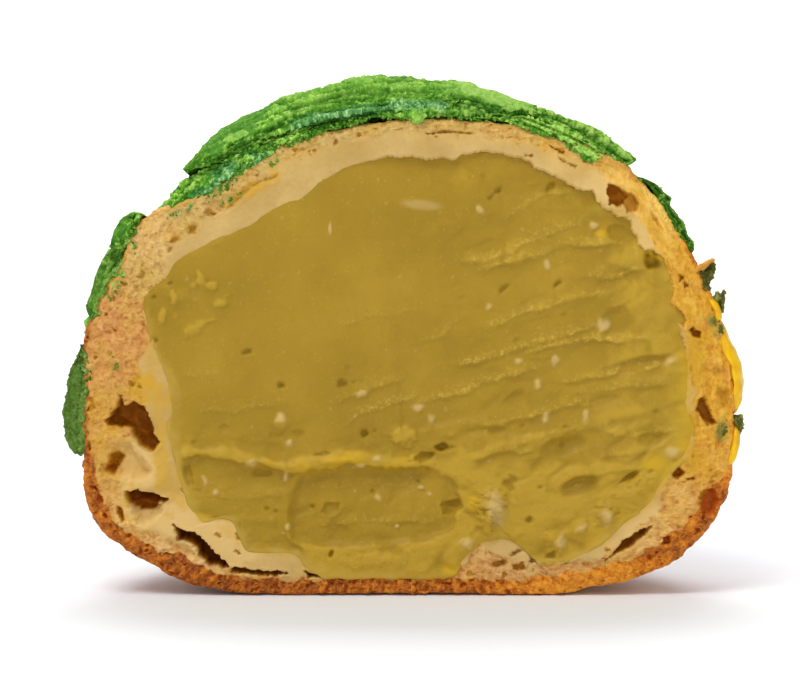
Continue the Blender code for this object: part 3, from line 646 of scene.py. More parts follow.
AIR = [  # air pockets that the knife opened: outline, depth, how much painted shade darkens it, how far the side slopes
    ([(-36.5, 21.7), (-35.2, 23.2), (-34.6, 24.7), (-34.1, 23.6), (-33.0, 24.0), (-31.6, 23.4), (-30.8, 21.2),
      (-29.9, 18.8), (-30.8, 17.6), (-32.4, 18.6), (-33.4, 20.6), (-36.2, 21.2)], 3.9, 0.78, 0.3),
    ([(-36.7, 15.6), (-36.3, 17.6), (-35.2, 19.3), (-33.6, 19.4), (-31.8, 17.4), (-30.5, 15.8), (-30.5, 14.6),
      (-32.8, 14.2), (-35.6, 14.5)], 1.5, 0.08, 1.4),
    ([(-36.8, 15.4), (-36.2, 17.4), (-34.9, 18.2), (-34.0, 17.2), (-34.8, 15.8), (-35.4, 14.6)], 2.6, 0.65, 1.0),
    ([(-34.3, 13.0), (-32.7, 13.2), (-30.4, 12.7), (-28.8, 11.9), (-30.0, 11.5), (-30.6, 10.5), (-32.2, 10.5),
      (-33.6, 11.6)], 4.4, 0.95, 0.25),
    ([(-34.3, 13.0), (-28.9, 11.9), (-29.4, 10.4), (-31.0, 8.8), (-32.4, 8.6), (-33.8, 10.9)], 1.6, 0.05, 1.1),
    ([(-35.4, 11.6), (-34.5, 11.0), (-34.0, 9.3), (-34.6, 8.9), (-35.2, 10.2)], 1.3, 0.5, 0.5),
    ([(-28.2, 8.9), (-26.8, 8.1), (-25.3, 7.7), (-24.0, 6.3), (-22.9, 5.3), (-21.0, 3.4), (-23.8, 3.7),
      (-25.0, 4.9), (-25.7, 6.4), (-27.6, 6.9)], 5.0, 1.0, 0.25),
    ([(-28.9, 7.6), (-26.0, 6.6), (-25.4, 4.6), (-27.4, 4.2), (-29.2, 5.6)], 0.9, 0.0, 1.2),
    ([(-21.4, 3.7), (-18.0, 3.2), (-15.0, 3.2), (-14.0, 2.8), (-15.2, 2.5), (-18.5, 2.6), (-21.2, 2.9)], 2.2, 0.8, 0.3),
    ([(-12.0, 3.0), (-10.0, 3.2), (-8.4, 2.9), (-8.2, 2.3), (-11.6, 2.3)], 2.2, 0.8, 0.3),
    ([(25.2, 50.9), (26.8, 50.3), (27.7, 49.2), (27.2, 48.4), (26.4, 47.8), (25.3, 48.2), (25.0, 49.6)], 2.4, 0.6, 0.2),
    ([(26.8, 50.4), (28.0, 49.6), (28.9, 48.4), (28.7, 47.2), (27.4, 47.3), (26.9, 48.4)], 1.3, 0.24, 0.3),
    ([(30.2, 47.9), (31.6, 46.1), (32.1, 44.7), (31.2, 45.4), (30.2, 46.8)], 0.8, 0.2, 0.7),
    ([(29.4, 42.6), (30.4, 42.9), (31.6, 42.0), (31.9, 40.6), (30.6, 40.2), (29.3, 41.0)], 2.4, 0.5, 0.5),
    ([(33.8, 39.7), (34.6, 39.6), (34.6, 38.8), (33.9, 38.7)], 0.9, 0.45, 0.3),
    ([(34.4, 38.7), (35.2, 38.6), (35.1, 38.0), (34.5, 38.0)], 0.7, 0.45, 0.25),
    ([(33.4, 35.9), (34.2, 35.2), (34.8, 34.0), (34.5, 33.2), (33.6, 33.9), (33.1, 34.9)], 1.6, 0.7, 0.3),
    ([(34.9, 32.9), (35.7, 33.2), (36.7, 32.5), (36.6, 31.8), (35.5, 32.0)], 1.2, 0.7, 0.3),
    ([(36.3, 24.4), (37.1, 24.8), (37.7, 23.4), (38.6, 21.4), (37.6, 21.0), (36.6, 21.9), (36.1, 23.2)], 1.9, 0.62, 0.5),
    ([(37.8, 28.6), (39.4, 28.5), (39.7, 27.2), (37.9, 26.9)], 0.7, 0.16, 0.9),
    ([(38.4, 26.0), (40.3, 25.9), (40.3, 23.0), (39.1, 22.8)], 0.9, 0.2, 0.9),
    ([(36.5, 13.0), (38.2, 13.6), (39.4, 12.0), (38.6, 9.9), (37.0, 9.7), (36.3, 11.4)], 1.8, 0.5, 1.0),
    ([(32.9, 15.4), (33.9, 16.1), (34.9, 15.3), (34.4, 14.5), (33.2, 14.5)], 1.5, 0.6, 0.4),
    ([(34.8, 14.6), (36.0, 14.9), (36.1, 14.4), (35.1, 14.1)], 0.7, 0.6, 0.3),
    ([(25.0, 4.3), (27.2, 6.8), (29.2, 8.1), (30.7, 8.7), (30.3, 7.8), (28.4, 6.3), (26.6, 5.3)], 2.8, 0.75, 0.25),
    ([(31.9, 7.4), (33.1, 7.5), (32.9, 6.5), (32.1, 6.2)], 1.2, 0.6, 0.3),
    ([(10.9, 4.1), (12.7, 4.6), (12.8, 3.7), (11.6, 3.4)], 0.9, 0.25, 0.3),
    ([(13.5, 4.1), (15.0, 4.0), (15.2, 3.3), (13.6, 3.2)], 0.9, 0.3, 0.3),
    ([(13.0, 5.1), (14.6, 6.1), (14.8, 5.5), (13.5, 4.7)], 0.9, 0.2, 0.3),
    ([(16.0, 4.9), (16.6, 4.4), (15.9, 3.8), (15.4, 4.3)], 0.8, 0.2, 0.3),
    ([(-21.6, 48.2), (-20.3, 49.4), (-18.6, 51.0), (-16.9, 51.6), (-14.9, 52.2), (-15.4, 51.2), (-17.4, 50.5),
      (-19.2, 49.2), (-20.4, 47.9), (-21.8, 47.1)], 0.9, 0.13, 1.0),
    ([(-26.3, 45.7), (-25.3, 45.9), (-25.2, 44.6), (-26.2, 44.3)], 0.7, 0.15, 0.5),
    ([(-28.9, 43.3), (-28.1, 43.2), (-28.2, 42.3), (-28.8, 42.2)], 0.6, 0.15, 0.4),
    ([(-13.0, 54.8), (-10.0, 55.9), (-10.2, 55.4), (-12.8, 54.4)], 0.4, 0.12, 0.4),
    ([(2.8, 57.0), (5.5, 57.3), (8.6, 57.1), (8.4, 56.7), (5.4, 56.9), (3.0, 56.6)], 0.7, 0.2, 0.3),
    ([(18.0, 55.4), (19.8, 54.7), (19.7, 54.3), (18.2, 55.0)], 0.6, 0.3, 0.25),
    ([(19.0, 54.0), (21.4, 53.0), (21.2, 52.4), (19.4, 53.4)], 0.5, 0.15, 0.4),
    ([(14.8, 54.4), (16.0, 54.4), (15.8, 54.0), (14.9, 54.0)], 0.4, 0.15, 0.3),
    ([(-22.9, 7.9), (-22.2, 7.3), (-22.4, 7.1), (-23.0, 7.6)], 0.4, 0.3, 0.15),
    ([(-20.6, 5.9), (-19.8, 5.1), (-20.0, 5.0), (-20.7, 5.5)], 0.4, 0.3, 0.15),
    ([(-20.4, 8.0), (-20.0, 7.0), (-20.2, 6.9), (-20.6, 7.7)], 0.4, 0.25, 0.15),
    ([(-26.9, 13.6), (-26.3, 12.4), (-26.5, 12.3), (-27.1, 13.3)], 0.4, 0.15, 0.15),
    ([(30.9, 43.9), (31.2, 43.2), (31.0, 43.1), (30.7, 43.7)], 0.4, 0.2, 0.15),
]
MILKY = [  # where the choux is palest: middle, half length and half width, share
    ((-24.0, 8.5), (9.5, 6.0), 1.0), ((-32.5, 16.0), (3.4, 3.6), 1.0), ((-32.0, 10.0), (3.4, 2.6), 1.0),
    ((28.5, 8.0), (6.5, 4.4), 1.0), ((34.0, 12.6), (2.6, 3.6), 0.5), ((13.5, 4.8), (5.5, 2.6), 0.5),
    ((25.0, 50.2), (4.5, 2.6), 1.0), ((30.0, 44.6), (3.4, 5.6), 0.7), ((-31.0, 44.4), (3.4, 3.8), 1.0),
]
STAINS = [  # where cream and custard have soaked in: middle, half length and half width, tilt and share
    ((-31.6, 26.6), (2.6, 1.7), -20, 1.0), ((-29.6, 16.5), (1.1, 6.0), 4, 0.8), ((-27.4, 12.0), (2.4, 0.9), -50, 0.6),
    ((-31.4, 24.6), (4.0, 1.2), -15, 0.7), ((35.6, 17.2), (1.4, 3.0), 0, 0.9), ((30.4, 40.4), (1.6, 2.4), 30, 0.9),
    ((-18.2, 50.2), (4.2, 1.0), 28, 0.8), ((-25.8, 45.2), (1.0, 0.9), 0, 0.6), ((-33.6, 12.4), (0.5, 2.6), -12, 0.6),
    ((27.0, 46.5), (1.4, 2.6), 40, 0.3), ((30.6, 45.4), (0.8, 2.2), 30, 0.5), ((-15.6, 52.0), (1.0, 0.8), 0, 0.6),
    ((35.6, 29.0), (1.8, 6.0), -4, 0.9), ((-30.4, 30.2), (1.6, 3.4), 8, 0.45), ((-21.0, 7.8), (2.6, 0.8), -40, 0.4),
]
RUBBED = [  # where green crumbs were rubbed into the wall: middle, half length and half width, tilt
    ((38.2, 33.6), (0.9, 1.9), 20), ((39.0, 20.5), (0.9, 1.8), -8),
]
FACE_COLUMNS, FACE_ROWS = 2140, 72
INNER_ROWS, SKIN_ROWS = 5, 13
FACE_BACK = 8.4  # how far the ring reaches behind the cut
CRUST_FRONT = 7.2  # where the rest of the crust starts


def choux_relief(x, z, turn, outer_gap, inner_gap):
    """The cut choux: its depth behind the knife, and a share for each finish that it shows."""
    flat = np.stack([x, 0 * x, z], axis=-1)
    crust_wide = round_keys(turn, WALL, 1) * (1 + 0.3 * swell(flat, 2.6, 81))
    crumb_wide = round_keys(turn, WALL, 2) * (1 + 0.22 * swell(flat, 3.4, 82)) + 0.8 * rough(flat, 1.6, 83, 3, 0.7)
    brown, gold, coarse, rosy = (round_keys(turn, WALL, column) for column in (3, 4, 5, 6))
    crust = 1 - ramp(outer_gap + 0.3 * swell(flat, 0.8, 80), crust_wide - 0.15, crust_wide + 0.2)
    crumb = (1 - ramp(outer_gap, crumb_wide - 0.3, crumb_wide + 0.3)) * (1 - crust)
    lining = 1 - crust - crumb
    outward = np.clip(inner_gap / np.maximum(inner_gap + outer_gap, 0.1), 0, 1)
    milky = np.zeros_like(x)
    for middle, half, share in MILKY:
        away = spot(x, z, middle, half) + 0.5 * rough(flat, 3.0, 98, 3, 0.6)
        milky = np.maximum(milky, share * (1 - ramp(away, 0.55, 1.15)))

    fluff, gaps = open_crumb(flat, 79)
    bits, _ = broken_crumb(flat, 0.8, 77)
    torn = rough(flat, 1.7, 88, 4, 0.6)
    depth = swell(flat, 8.0, 84) * 0.12
    depth += lining * (swell(flat, 2.6, 85) * 0.13 + rough(flat, 0.9, 86, 2) * 0.035 - 0.22)
    streaks = rough(np.stack([turn * 16.0, 0 * x, outer_gap * 1.6], axis=-1), 1.5, 119, 3, 0.6)
    depth += crumb * coarse * (torn * 0.38 - fluff * 0.24 + gaps * 0.12) - crumb * (1 - coarse) * streaks * 0.30
    depth += crust * (rough(flat, 1.9, 90, 4, 0.6) * 0.40 - bits * 0.16 - fluff * 0.30 + gaps * 0.20)
    pockets = ramp(rough(flat, 1.5, 120, 3), 0.40, 0.66) * crumb * coarse
    pits = ramp(rough(flat, 1.15, 121, 2), 0.44, 0.70) * crust * ramp(brown, 0.08, 0.35)
    bricks = swell(np.stack([turn * 33.0, 0 * x, outer_gap * 0.22], axis=-1), 0.85, 78)
    at_base = (0.35 + 0.65 * ramp(z, 7.0, 3.0)) * ramp(z, 16.0, 10.0) * crust
    depth += np.clip(bricks, -0.6, 0.8) * 0.36 * at_base + pockets * 0.5 + pits * (0.75 - 0.35 * at_base)

    # hole: painted shade, a darker brown in the crumb's pockets and gaps, the crust's pits and where the striations at
    # the base lie back
    hole = 0.22 * pockets + (0.50 - 0.25 * at_base) * pits + 0.12 * at_base * ramp(bricks, 0.30, 0.65)
    hole = np.maximum(hole, gaps * (0.07 * crumb * coarse + 0.14 * crust))
    ragged = 0.20 * swell(flat, 0.9, 92) + 0.14 * swell(flat, 0.4, 93)
    for outline, deep, pocket_shade, side in AIR:
        inside = within(x, z, outline) + ragged
        open_here = ramp(inside, -0.05, side)
        depth = depth * (1 - 0.7 * open_here) + open_here * deep * (1 + 0.25 * swell(flat, 1.6, 94))
        depth -= 0.12 * np.exp(-((inside + 0.22) / 0.18) ** 2) * min(1.0, pocket_shade + 0.2)
        hole = np.maximum(hole, pocket_shade * ramp(inside, 0.0, 0.16 + side * 0.35))
    toasted = ramp(rough(flat, 1.3, 95, 2), 0.30, 0.60) * crumb * rosy
    stain = ramp(inner_gap, 1.9, 0.1) * ramp(swell(flat, 3.0, 96), -0.5, 0.4) * ramp(z, 34.0, 28.0)
    smudged = 0.9 * rough(flat, 1.8, 99, 4, 0.7)
    for middle, half, tilt, share in STAINS:
        stain = np.maximum(stain, share * (1 - ramp(spot(x, z, middle, half, tilt) + smudged, 0.4, 1.15)))
    rubbed = np.zeros_like(x)
    for middle, half, tilt in RUBBED:
        away = spot(x, z, middle, half, tilt) + smudged * 0.6
        rubbed = np.maximum(rubbed, 1 - ramp(away, 0.2, 1.2))
    patches = rough(flat, 5.0, 100, 3, 0.7)
    rosy, gold = np.clip(rosy + 0.5 * patches * crumb, 0, 1), np.clip(gold - 0.5 * patches * crumb, 0, 1)
    # grain: painted light and shade, lighter where strands, fluff and bits stand forward and darker in gaps, torn
    # hollows and the striations at the base that lie back
    grain = 0.5 + fluff * (0.5 + 0.25 * crust) - 0.25 * gaps - 0.18 * torn * coarse + 0.2 * bits * crust
    grain += (0.5 * streaks + 0.22) * (1 - coarse) * crumb - 0.3 * bricks * at_base
    finishes = {"crust": crust, "crumb": crumb, "brown": brown, "gold": gold, "rosy": rosy,
                "hole": np.clip(hole, 0, 1), "toasted": toasted, "stain": np.clip(stain, 0, 1) * (1 - crust),
                "grain": np.clip(grain, 0, 1), "outward": outward, "milky": milky * (1 - crust), "rubbed": rubbed}
    return depth, finishes


def face_turns(first, count):
    """Angles of the columns round the cut, evenly spaced along the skin."""
    fine = np.linspace(0, 2 * np.pi, 7201)
    radius = SKIN(fine)
    x, z = np.cos(fine) * radius, np.sin(fine) * radius
    along = np.concatenate([[0], np.cumsum(np.hypot(np.diff(x), np.diff(z)))])
    whole_turns, column = np.divmod(first + np.arange(count + 1), FACE_COLUMNS)
    return np.interp(column / FACE_COLUMNS * along[-1], along, fine) + 2 * np.pi * whole_turns


def make_choux_face(look, name, first, count):
    """Half of the cut through the shell, with its air pockets and its rolled crust: an arch of columns."""
    rows = FACE_ROWS + INNER_ROWS + SKIN_ROWS
    arch, column, row = new_sheet(name, count, rows)
    row = row % rows
    turn = face_turns(first, count)[:, None]
    outer = SKIN(turn)
    outer_ripple = crust_relief(on_skin(turn, 0.08 + 0 * turn, relief=False))
    hidden = cream_under(turn)
    scallop = rough(np.stack([np.cos(turn) * 32, 0 * turn, np.sin(turn) * 32], axis=-1), 2.0, 72, 4, 0.65)
    inner = CREAM_EDGE(turn) - 0.9 * (1 - hidden) + 0.6 * hidden * scallop
    inner = np.minimum(inner, outer - 1.2)

    step = np.linspace(0, 1, FACE_ROWS)[None, :]
    share = 1 - (1 - step) ** 1.45
    radius = inner + (outer + outer_ripple * 0.8 - inner) * share
    x, z = np.cos(turn) * radius, HEART + np.sin(turn) * radius
    wide_turn = turn + 0 * step
    outer_gap, inner_gap = outer + outer_ripple * 0.8 - radius, radius - inner
    depth, finishes = choux_relief(x, z, wide_turn, outer_gap, inner_gap)
    rolled = 0.75 + 0.35 * swell(np.stack([x, 0 * x, z], axis=-1), 3.5, 97)
    roll = 1 - np.clip(outer_gap / rolled, 0, 1)
    roll_back = (1 - np.sqrt(1 - roll ** 2 * 0.98)) * rolled * 1.1
    depth = depth * ramp(outer_gap, 0.0, 0.35) + roll_back
    sunk = runs_thin(x, z)
    depth += sunk * (0.15 * ramp(inner_gap, 3.0, 1.0) + 0.5 * ramp(inner_gap, 0.75, 0.35))
    depth += 0.5 * np.exp(-(inner_gap / 0.16) ** 2) * (1 - sunk)
    face = np.stack([x, depth, z], axis=-1)

    last = face[:, -1:, :]
    start = np.arcsin(np.clip(last[..., 1] / outer, 0, 0.6))
    end = np.arcsin(FACE_BACK / outer)
    part = np.linspace(0, 1, SKIN_ROWS + 1)[None, 1:]
    back = start + (end - start) * part
    dip = -0.5 * ramp(part, 0.85, 1.0)
    skin = on_skin(turn + 0 * part, back, dip)
    blend = (1 - ramp(part, 0.0, 0.35))[..., None]
    gap = last - on_skin(turn, start)
    skin = skin + gap * blend

    part = np.linspace(0, 1, INNER_ROWS)[None, :]
    wall_back = FACE_BACK * (1 - part) ** 1.5 + 0.8 * part
    inner_wall = np.stack([np.cos(turn) * (inner + 0.05) + 0 * part, wall_back + 0 * turn,
                           HEART + np.sin(turn) * (inner + 0.05) + 0 * part], axis=-1)
    section = np.concatenate([inner_wall, face, skin], axis=1)
    section[..., 2] = np.maximum(section[..., 2], 0.0)
    move_points(arch, placed(section[column, row]))

    def whole(values, for_skin):
        """A finish of the face, carried on over the hidden wall and the skin."""
        inside = np.zeros((len(values), INNER_ROWS))
        skin_values = np.repeat(values[:, -1:], SKIN_ROWS, axis=1)
        if for_skin is not None:
            skin_values = np.full_like(skin_values, for_skin)
        return np.concatenate([inside, values, skin_values], axis=1)[column, row]

    over_skin = {"crust": 1, "crumb": 0, "hole": 0, "toasted": 0, "stain": 0, "grain": 0.5, "milky": 0, "rubbed": 0}
    for finish, values in finishes.items():
        mark(arch, finish, whole(values, over_skin.get(finish)))
    close_arch(arch)
    return finish_piece(arch, look, "choux", "choux_shell")


def close_arch(arch):
    """Joins the arch's long seam and closes its two ends, with sharp corners so the cut shades evenly."""
    with editing(arch):
        bpy.ops.mesh.select_mode(type="EDGE")
        bpy.ops.mesh.select_all(action="SELECT")
        bpy.ops.mesh.remove_doubles(threshold=1e-6)
        bpy.ops.mesh.select_all(action="DESELECT")
        bpy.ops.mesh.select_non_manifold(extend=False)
        bpy.ops.mesh.mark_sharp()
        bpy.ops.mesh.fill_holes(sides=0)
        bpy.ops.mesh.select_all(action="SELECT")
        bpy.ops.mesh.normals_make_consistent(inside=False)


def make_choux_faces(look):
    half = FACE_COLUMNS // 2
    make_choux_face(look, "choux_cut_left", half // 2, half)
    make_choux_face(look, "choux_cut_right", -half + half // 2, half)


def make_choux_crust(look):
    """The rest of the baked shell, behind the cut."""
    steps = 292
    crust = new_piece("choux_crust", bpy.ops.mesh.primitive_grid_add, size=2.0,
                      x_subdivisions=steps, y_subdivisions=steps)
    share, turn = as_disk(points_of(crust))
    first = np.arcsin(CRUST_FRONT / SKIN(turn))
    back = np.pi / 2 - share * (np.pi / 2 - first)
    dip = -0.5 * ramp(share, 0.985, 1.0)
    points = on_skin(turn, back, dip)
    points[:, 2] = np.maximum(points[:, 2], 0.0)
    move_points(crust, placed(points))
    behind = ramp(points[:, 1], CRUST_FRONT, 20.0)
    below = ramp(points[:, 2], 16.0, 2.0)
    mark(crust, "crust", np.ones(len(points)))
    mark(crust, "brown", round_keys(turn, WALL, 3) * (1 - behind) + (0.66 + 0.12 * below) * behind)
    mark(crust, "rosy", round_keys(turn, WALL, 6) * (1 - behind) + 0.8 * behind)
    mark(crust, "gold", round_keys(turn, WALL, 4) * (1 - behind))
    mark(crust, "grain", 0.5 + 0.5 * rough(points, 2.4, 131, 4, 0.7))
    with editing(crust):
        bpy.ops.mesh.select_mode(type="EDGE")
        bpy.ops.mesh.select_all(action="SELECT")
        bpy.ops.mesh.region_to_loop()
        middle = tuple(placed((0, 0, 27.0)))
        for back_by, shrink in ((0.2, 0.93), (8.0, 0.92), (8.0, 0.82), (6.0, 0.6)):
            bpy.ops.mesh.extrude_edges_move(TRANSFORM_OT_translate={"value": (0, back_by * SCALE, 0)})
            bpy.ops.transform.resize(value=(shrink, 1, shrink), center_override=middle)
        bpy.ops.mesh.edge_face_add()
    face_outward(crust)
    return finish_piece(crust, look, "choux", "choux_shell")


# ---------------------------------------------------------------- the craquelin
# Each plate's cut edge: its upper line and its lower line, both from left to right; how far it reaches
# back, how far its cut edge leans back, how deeply it is broken, how dull it is and how far its cut edge
# lies behind the knife; where given, how much painted light lightens its broken side (below 0, painted shade).
PLATES = {
    "left_low": dict(
        upper=[(-39.2, 17.7), (-39.8, 17.2), (-40.8, 17.8), (-41.5, 19.1), (-41.9, 21.1), (-42.0, 22.8), (-41.6, 25.3),
               (-41.3, 27.2), (-40.5, 28.7), (-39.8, 30.2), (-39.5, 31.1)],
        lower=[(-39.2, 17.9), (-38.9, 18.8), (-38.7, 20.4), (-38.5, 22.3), (-38.4, 24.5), (-38.2, 26.0), (-38.0, 27.6),
               (-38.6, 29.3), (-39.4, 31.0)],
        back=13.0, lean=0.5, crumbly=0.6, dull=0.8, set_back=0.0, nodes=["craquelin_01"]),
    "left_middle": dict(
        upper=[(-38.2, 34.1), (-38.8, 34.9), (-38.9, 35.9), (-38.3, 37.6), (-37.6, 40.1), (-36.7, 41.6), (-35.6, 42.8),
               (-34.4, 43.9), (-33.4, 43.9)],
        lower=[(-38.1, 34.2), (-37.2, 34.8), (-35.9, 36.8), (-34.7, 38.6), (-33.4, 40.6), (-32.5, 41.9), (-32.6, 43.1),
               (-33.2, 43.8)],
        back=14.0, lean=0.3, crumbly=0.8, dull=0.5, set_back=0.0, painted_light=0.1, nodes=["craquelin_02"]),
    "left_high": dict(
        upper=[(-36.0, 43.0), (-35.5, 44.9), (-34.9, 46.0), (-34.1, 46.9), (-33.2, 47.3), (-32.1, 47.1)],
        lower=[(-35.9, 42.9), (-35.0, 43.1), (-33.8, 43.6), (-33.0, 44.6), (-32.5, 46.0), (-32.1, 47.0)],
        back=12.0, lean=0.5, crumbly=0.7, dull=0.2, set_back=0.0, painted_light=0.05, nodes=["craquelin_02"]),
    "block": dict(
        upper=[(-28.5, 47.6), (-28.3, 49.2), (-26.9, 51.1), (-24.7, 52.4), (-21.8, 53.6), (-18.8, 55.0), (-16.2, 56.2),
               (-14.8, 56.2)],
        lower=[(-28.4, 47.4), (-27.3, 47.2), (-25.9, 47.7), (-24.2, 48.9), (-22.4, 50.6), (-20.4, 51.7), (-18.3, 52.9),
               (-16.2, 54.3), (-14.8, 55.9)],
        back=14.0, lean=0.3, crumbly=0.45, dull=0.0, set_back=0.0, painted_light=0.12, nodes=["craquelin_03"]),
    "low_layer": dict(
        upper=[(-24.6, 53.7), (-21.5, 55.2), (-18.6, 56.7), (-15.0, 58.0), (-11.0, 59.0)],
        lower=[(-24.6, 53.1), (-22.0, 53.4), (-19.6, 53.9), (-17.0, 54.9), (-14.4, 56.0), (-11.0, 57.6)],
        back=12.0, lean=0.2, crumbly=1.3, dull=0.0, set_back=0.25, nodes=["craquelin_04"]),
    "big": dict(
        upper=[(-26.9, 52.5), (-25.2, 54.8), (-23.2, 56.8), (-19.3, 59.2), (-15.4, 61.1), (-10.7, 62.4), (-8.3, 63.0),
               (-6.1, 64.1), (-3.4, 64.3), (-1.7, 64.2), (0.6, 64.3), (2.8, 63.7), (4.6, 62.9), (7.0, 61.2)],
        lower=[(-26.8, 52.4), (-24.5, 53.1), (-21.8, 54.3), (-19.3, 55.8), (-16.4, 56.6), (-12.0, 58.0), (-7.1, 59.3),
               (-3.4, 59.4), (0.6, 59.1), (3.1, 59.2), (5.4, 59.6), (7.0, 61.0)],
        back=17.0, lean=0.8, crumbly=1.15, dull=0.0, set_back=0.0, nodes=["craquelin_04", "craquelin_upper"]),
    "crown_crumbs": dict(
        upper=[(-17.0, 56.0), (-14.5, 57.2), (-12.0, 58.6), (-8.0, 60.0), (-3.4, 60.4), (2.0, 60.2), (7.0, 60.2),
               (11.0, 59.8), (14.6, 59.2)],
        lower=[(-17.0, 55.2), (-14.0, 55.8), (-10.5, 56.8), (-8.0, 57.6), (-5.6, 58.3), (-3.4, 58.8), (2.0, 58.9),
               (7.0, 58.9), (11.0, 58.5), (14.6, 57.9)],
        back=14.0, lean=0.3, crumbly=1.1, dull=0.0, set_back=0.1, nodes=["craquelin_04"]),
    "crown": dict(
        upper=[(-3.0, 61.2), (-0.4, 62.6), (2.2, 63.4), (4.6, 63.7), (8.2, 63.3), (9.6, 62.6), (11.8, 62.1), (13.8, 61.2), (16.5, 60.3)],
        lower=[(-3.0, 60.8), (-0.6, 59.6), (2.0, 59.3), (5.0, 59.4), (8.9, 59.3), (12.8, 59.0), (15.0, 59.1),
               (16.0, 59.7), (16.5, 60.2)],
        back=17.5, lean=0.7, crumbly=1.1, dull=0.0, set_back=0.15, nodes=["craquelin_05"]),
    "right_low": dict(
        upper=[(12.0, 58.9), (14.8, 59.1), (16.6, 58.5), (19.7, 57.3), (22.6, 55.8), (24.6, 54.6)],
        lower=[(12.0, 58.6), (14.3, 57.7), (17.2, 56.7), (19.9, 55.4), (21.4, 54.4), (22.9, 53.4), (24.6, 54.0)],
        back=13.0, lean=0.2, crumbly=1.0, dull=0.0, set_back=-0.35, painted_light=0.25, nodes=["craquelin_06"]),
    "right": dict(
        upper=[(15.3, 59.8), (16.7, 60.0), (19.9, 58.8), (23.6, 57.4), (26.1, 55.7), (27.6, 54.6), (28.6, 53.8)],
        lower=[(15.4, 59.4), (17.7, 58.0), (20.7, 56.9), (23.6, 55.2), (26.3, 53.4), (27.6, 53.0), (28.6, 53.6)],
        back=16.0, lean=0.3, crumbly=1.2, dull=0.2, set_back=0.0, painted_light=0.22, nodes=["craquelin_06"]),
    "far_right": dict(
        upper=[(28.8, 51.7), (30.7, 51.0), (32.8, 49.1), (32.9, 47.9), (34.5, 45.9), (34.9, 44.6), (35.6, 43.6),
               (35.8, 42.6)],
        lower=[(28.8, 51.4), (30.2, 50.4), (31.9, 47.8), (33.4, 45.0), (34.8, 42.8), (35.6, 42.3)],
        back=13.0, lean=0.2, crumbly=1.3, dull=0.4, set_back=0.0, painted_light=-0.05, nodes=["craquelin_07"]),
}
PLATE_PITCH = 0.13  # distance between the columns of a plate's grid
FRONT_ROWS, TOP_ROWS, UNDER_ROWS = 42, 64, 26  # rows of the cut edge, the top and the underside
SMOOTH_FACES = [  # where the craquelin's broken side is smooth: middle, half length and width, tilt, share, and how much painted light the smooth face gets
    ((-20.4, 57.5), 6.0, 1.8, 33, 0.75, 0.2), ((-20.7, 56.5), 2.2, 0.8, 22, 0.85, 0.7),
    ((11.4, 61.6), 5.6, 1.15, -20, 1.0, 0.85), ((6.5, 62.6), 2.6, 0.9, -8, 0.7, 0.7),
    ((-41.0, 22.5), 2.0, 6.0, 0, 0.6, 0.4), ((-37.6, 37.5), 1.5, 4.0, -18, 0.6, 0.4),
    ((-34.9, 45.4), 1.0, 2.2, -30, 0.7, 0.35),
]
SHADY = [  # where the craquelin's crumb gets dark green painted shade, under the overhanging plates: middle, half length and width, tilt, share
    ((9.8, 60.0), 7.0, 0.8, -4, 1.0), ((9.0, 59.2), 8.0, 0.4, -2, 0.6), ((-19.0, 54.8), 7.0, 1.0, 27, 0.75),
    ((-16.6, 57.2), 5.0, 0.5, 27, 0.8), ((-12.8, 59.8), 1.6, 0.7, 20, 0.7), ((24.0, 56.0), 6.0, 0.6, -31, 0.6),
]
BAND = [(-15.0, 57.5), (-8.9, 59.2), (-1.5, 60.1), (3.0, 60.4), (6.4, 60.2)]  # the bluish line in the craquelin


def line_at(points, share):
    """The places at a share of the length of a line."""
    points = np.asarray(points, float)
    length = np.concatenate([[0], np.cumsum(np.hypot(*np.diff(points, axis=0).T))])
    at = share * length[-1]
    return np.interp(at, length, points[:, 0]), np.interp(at, length, points[:, 1])


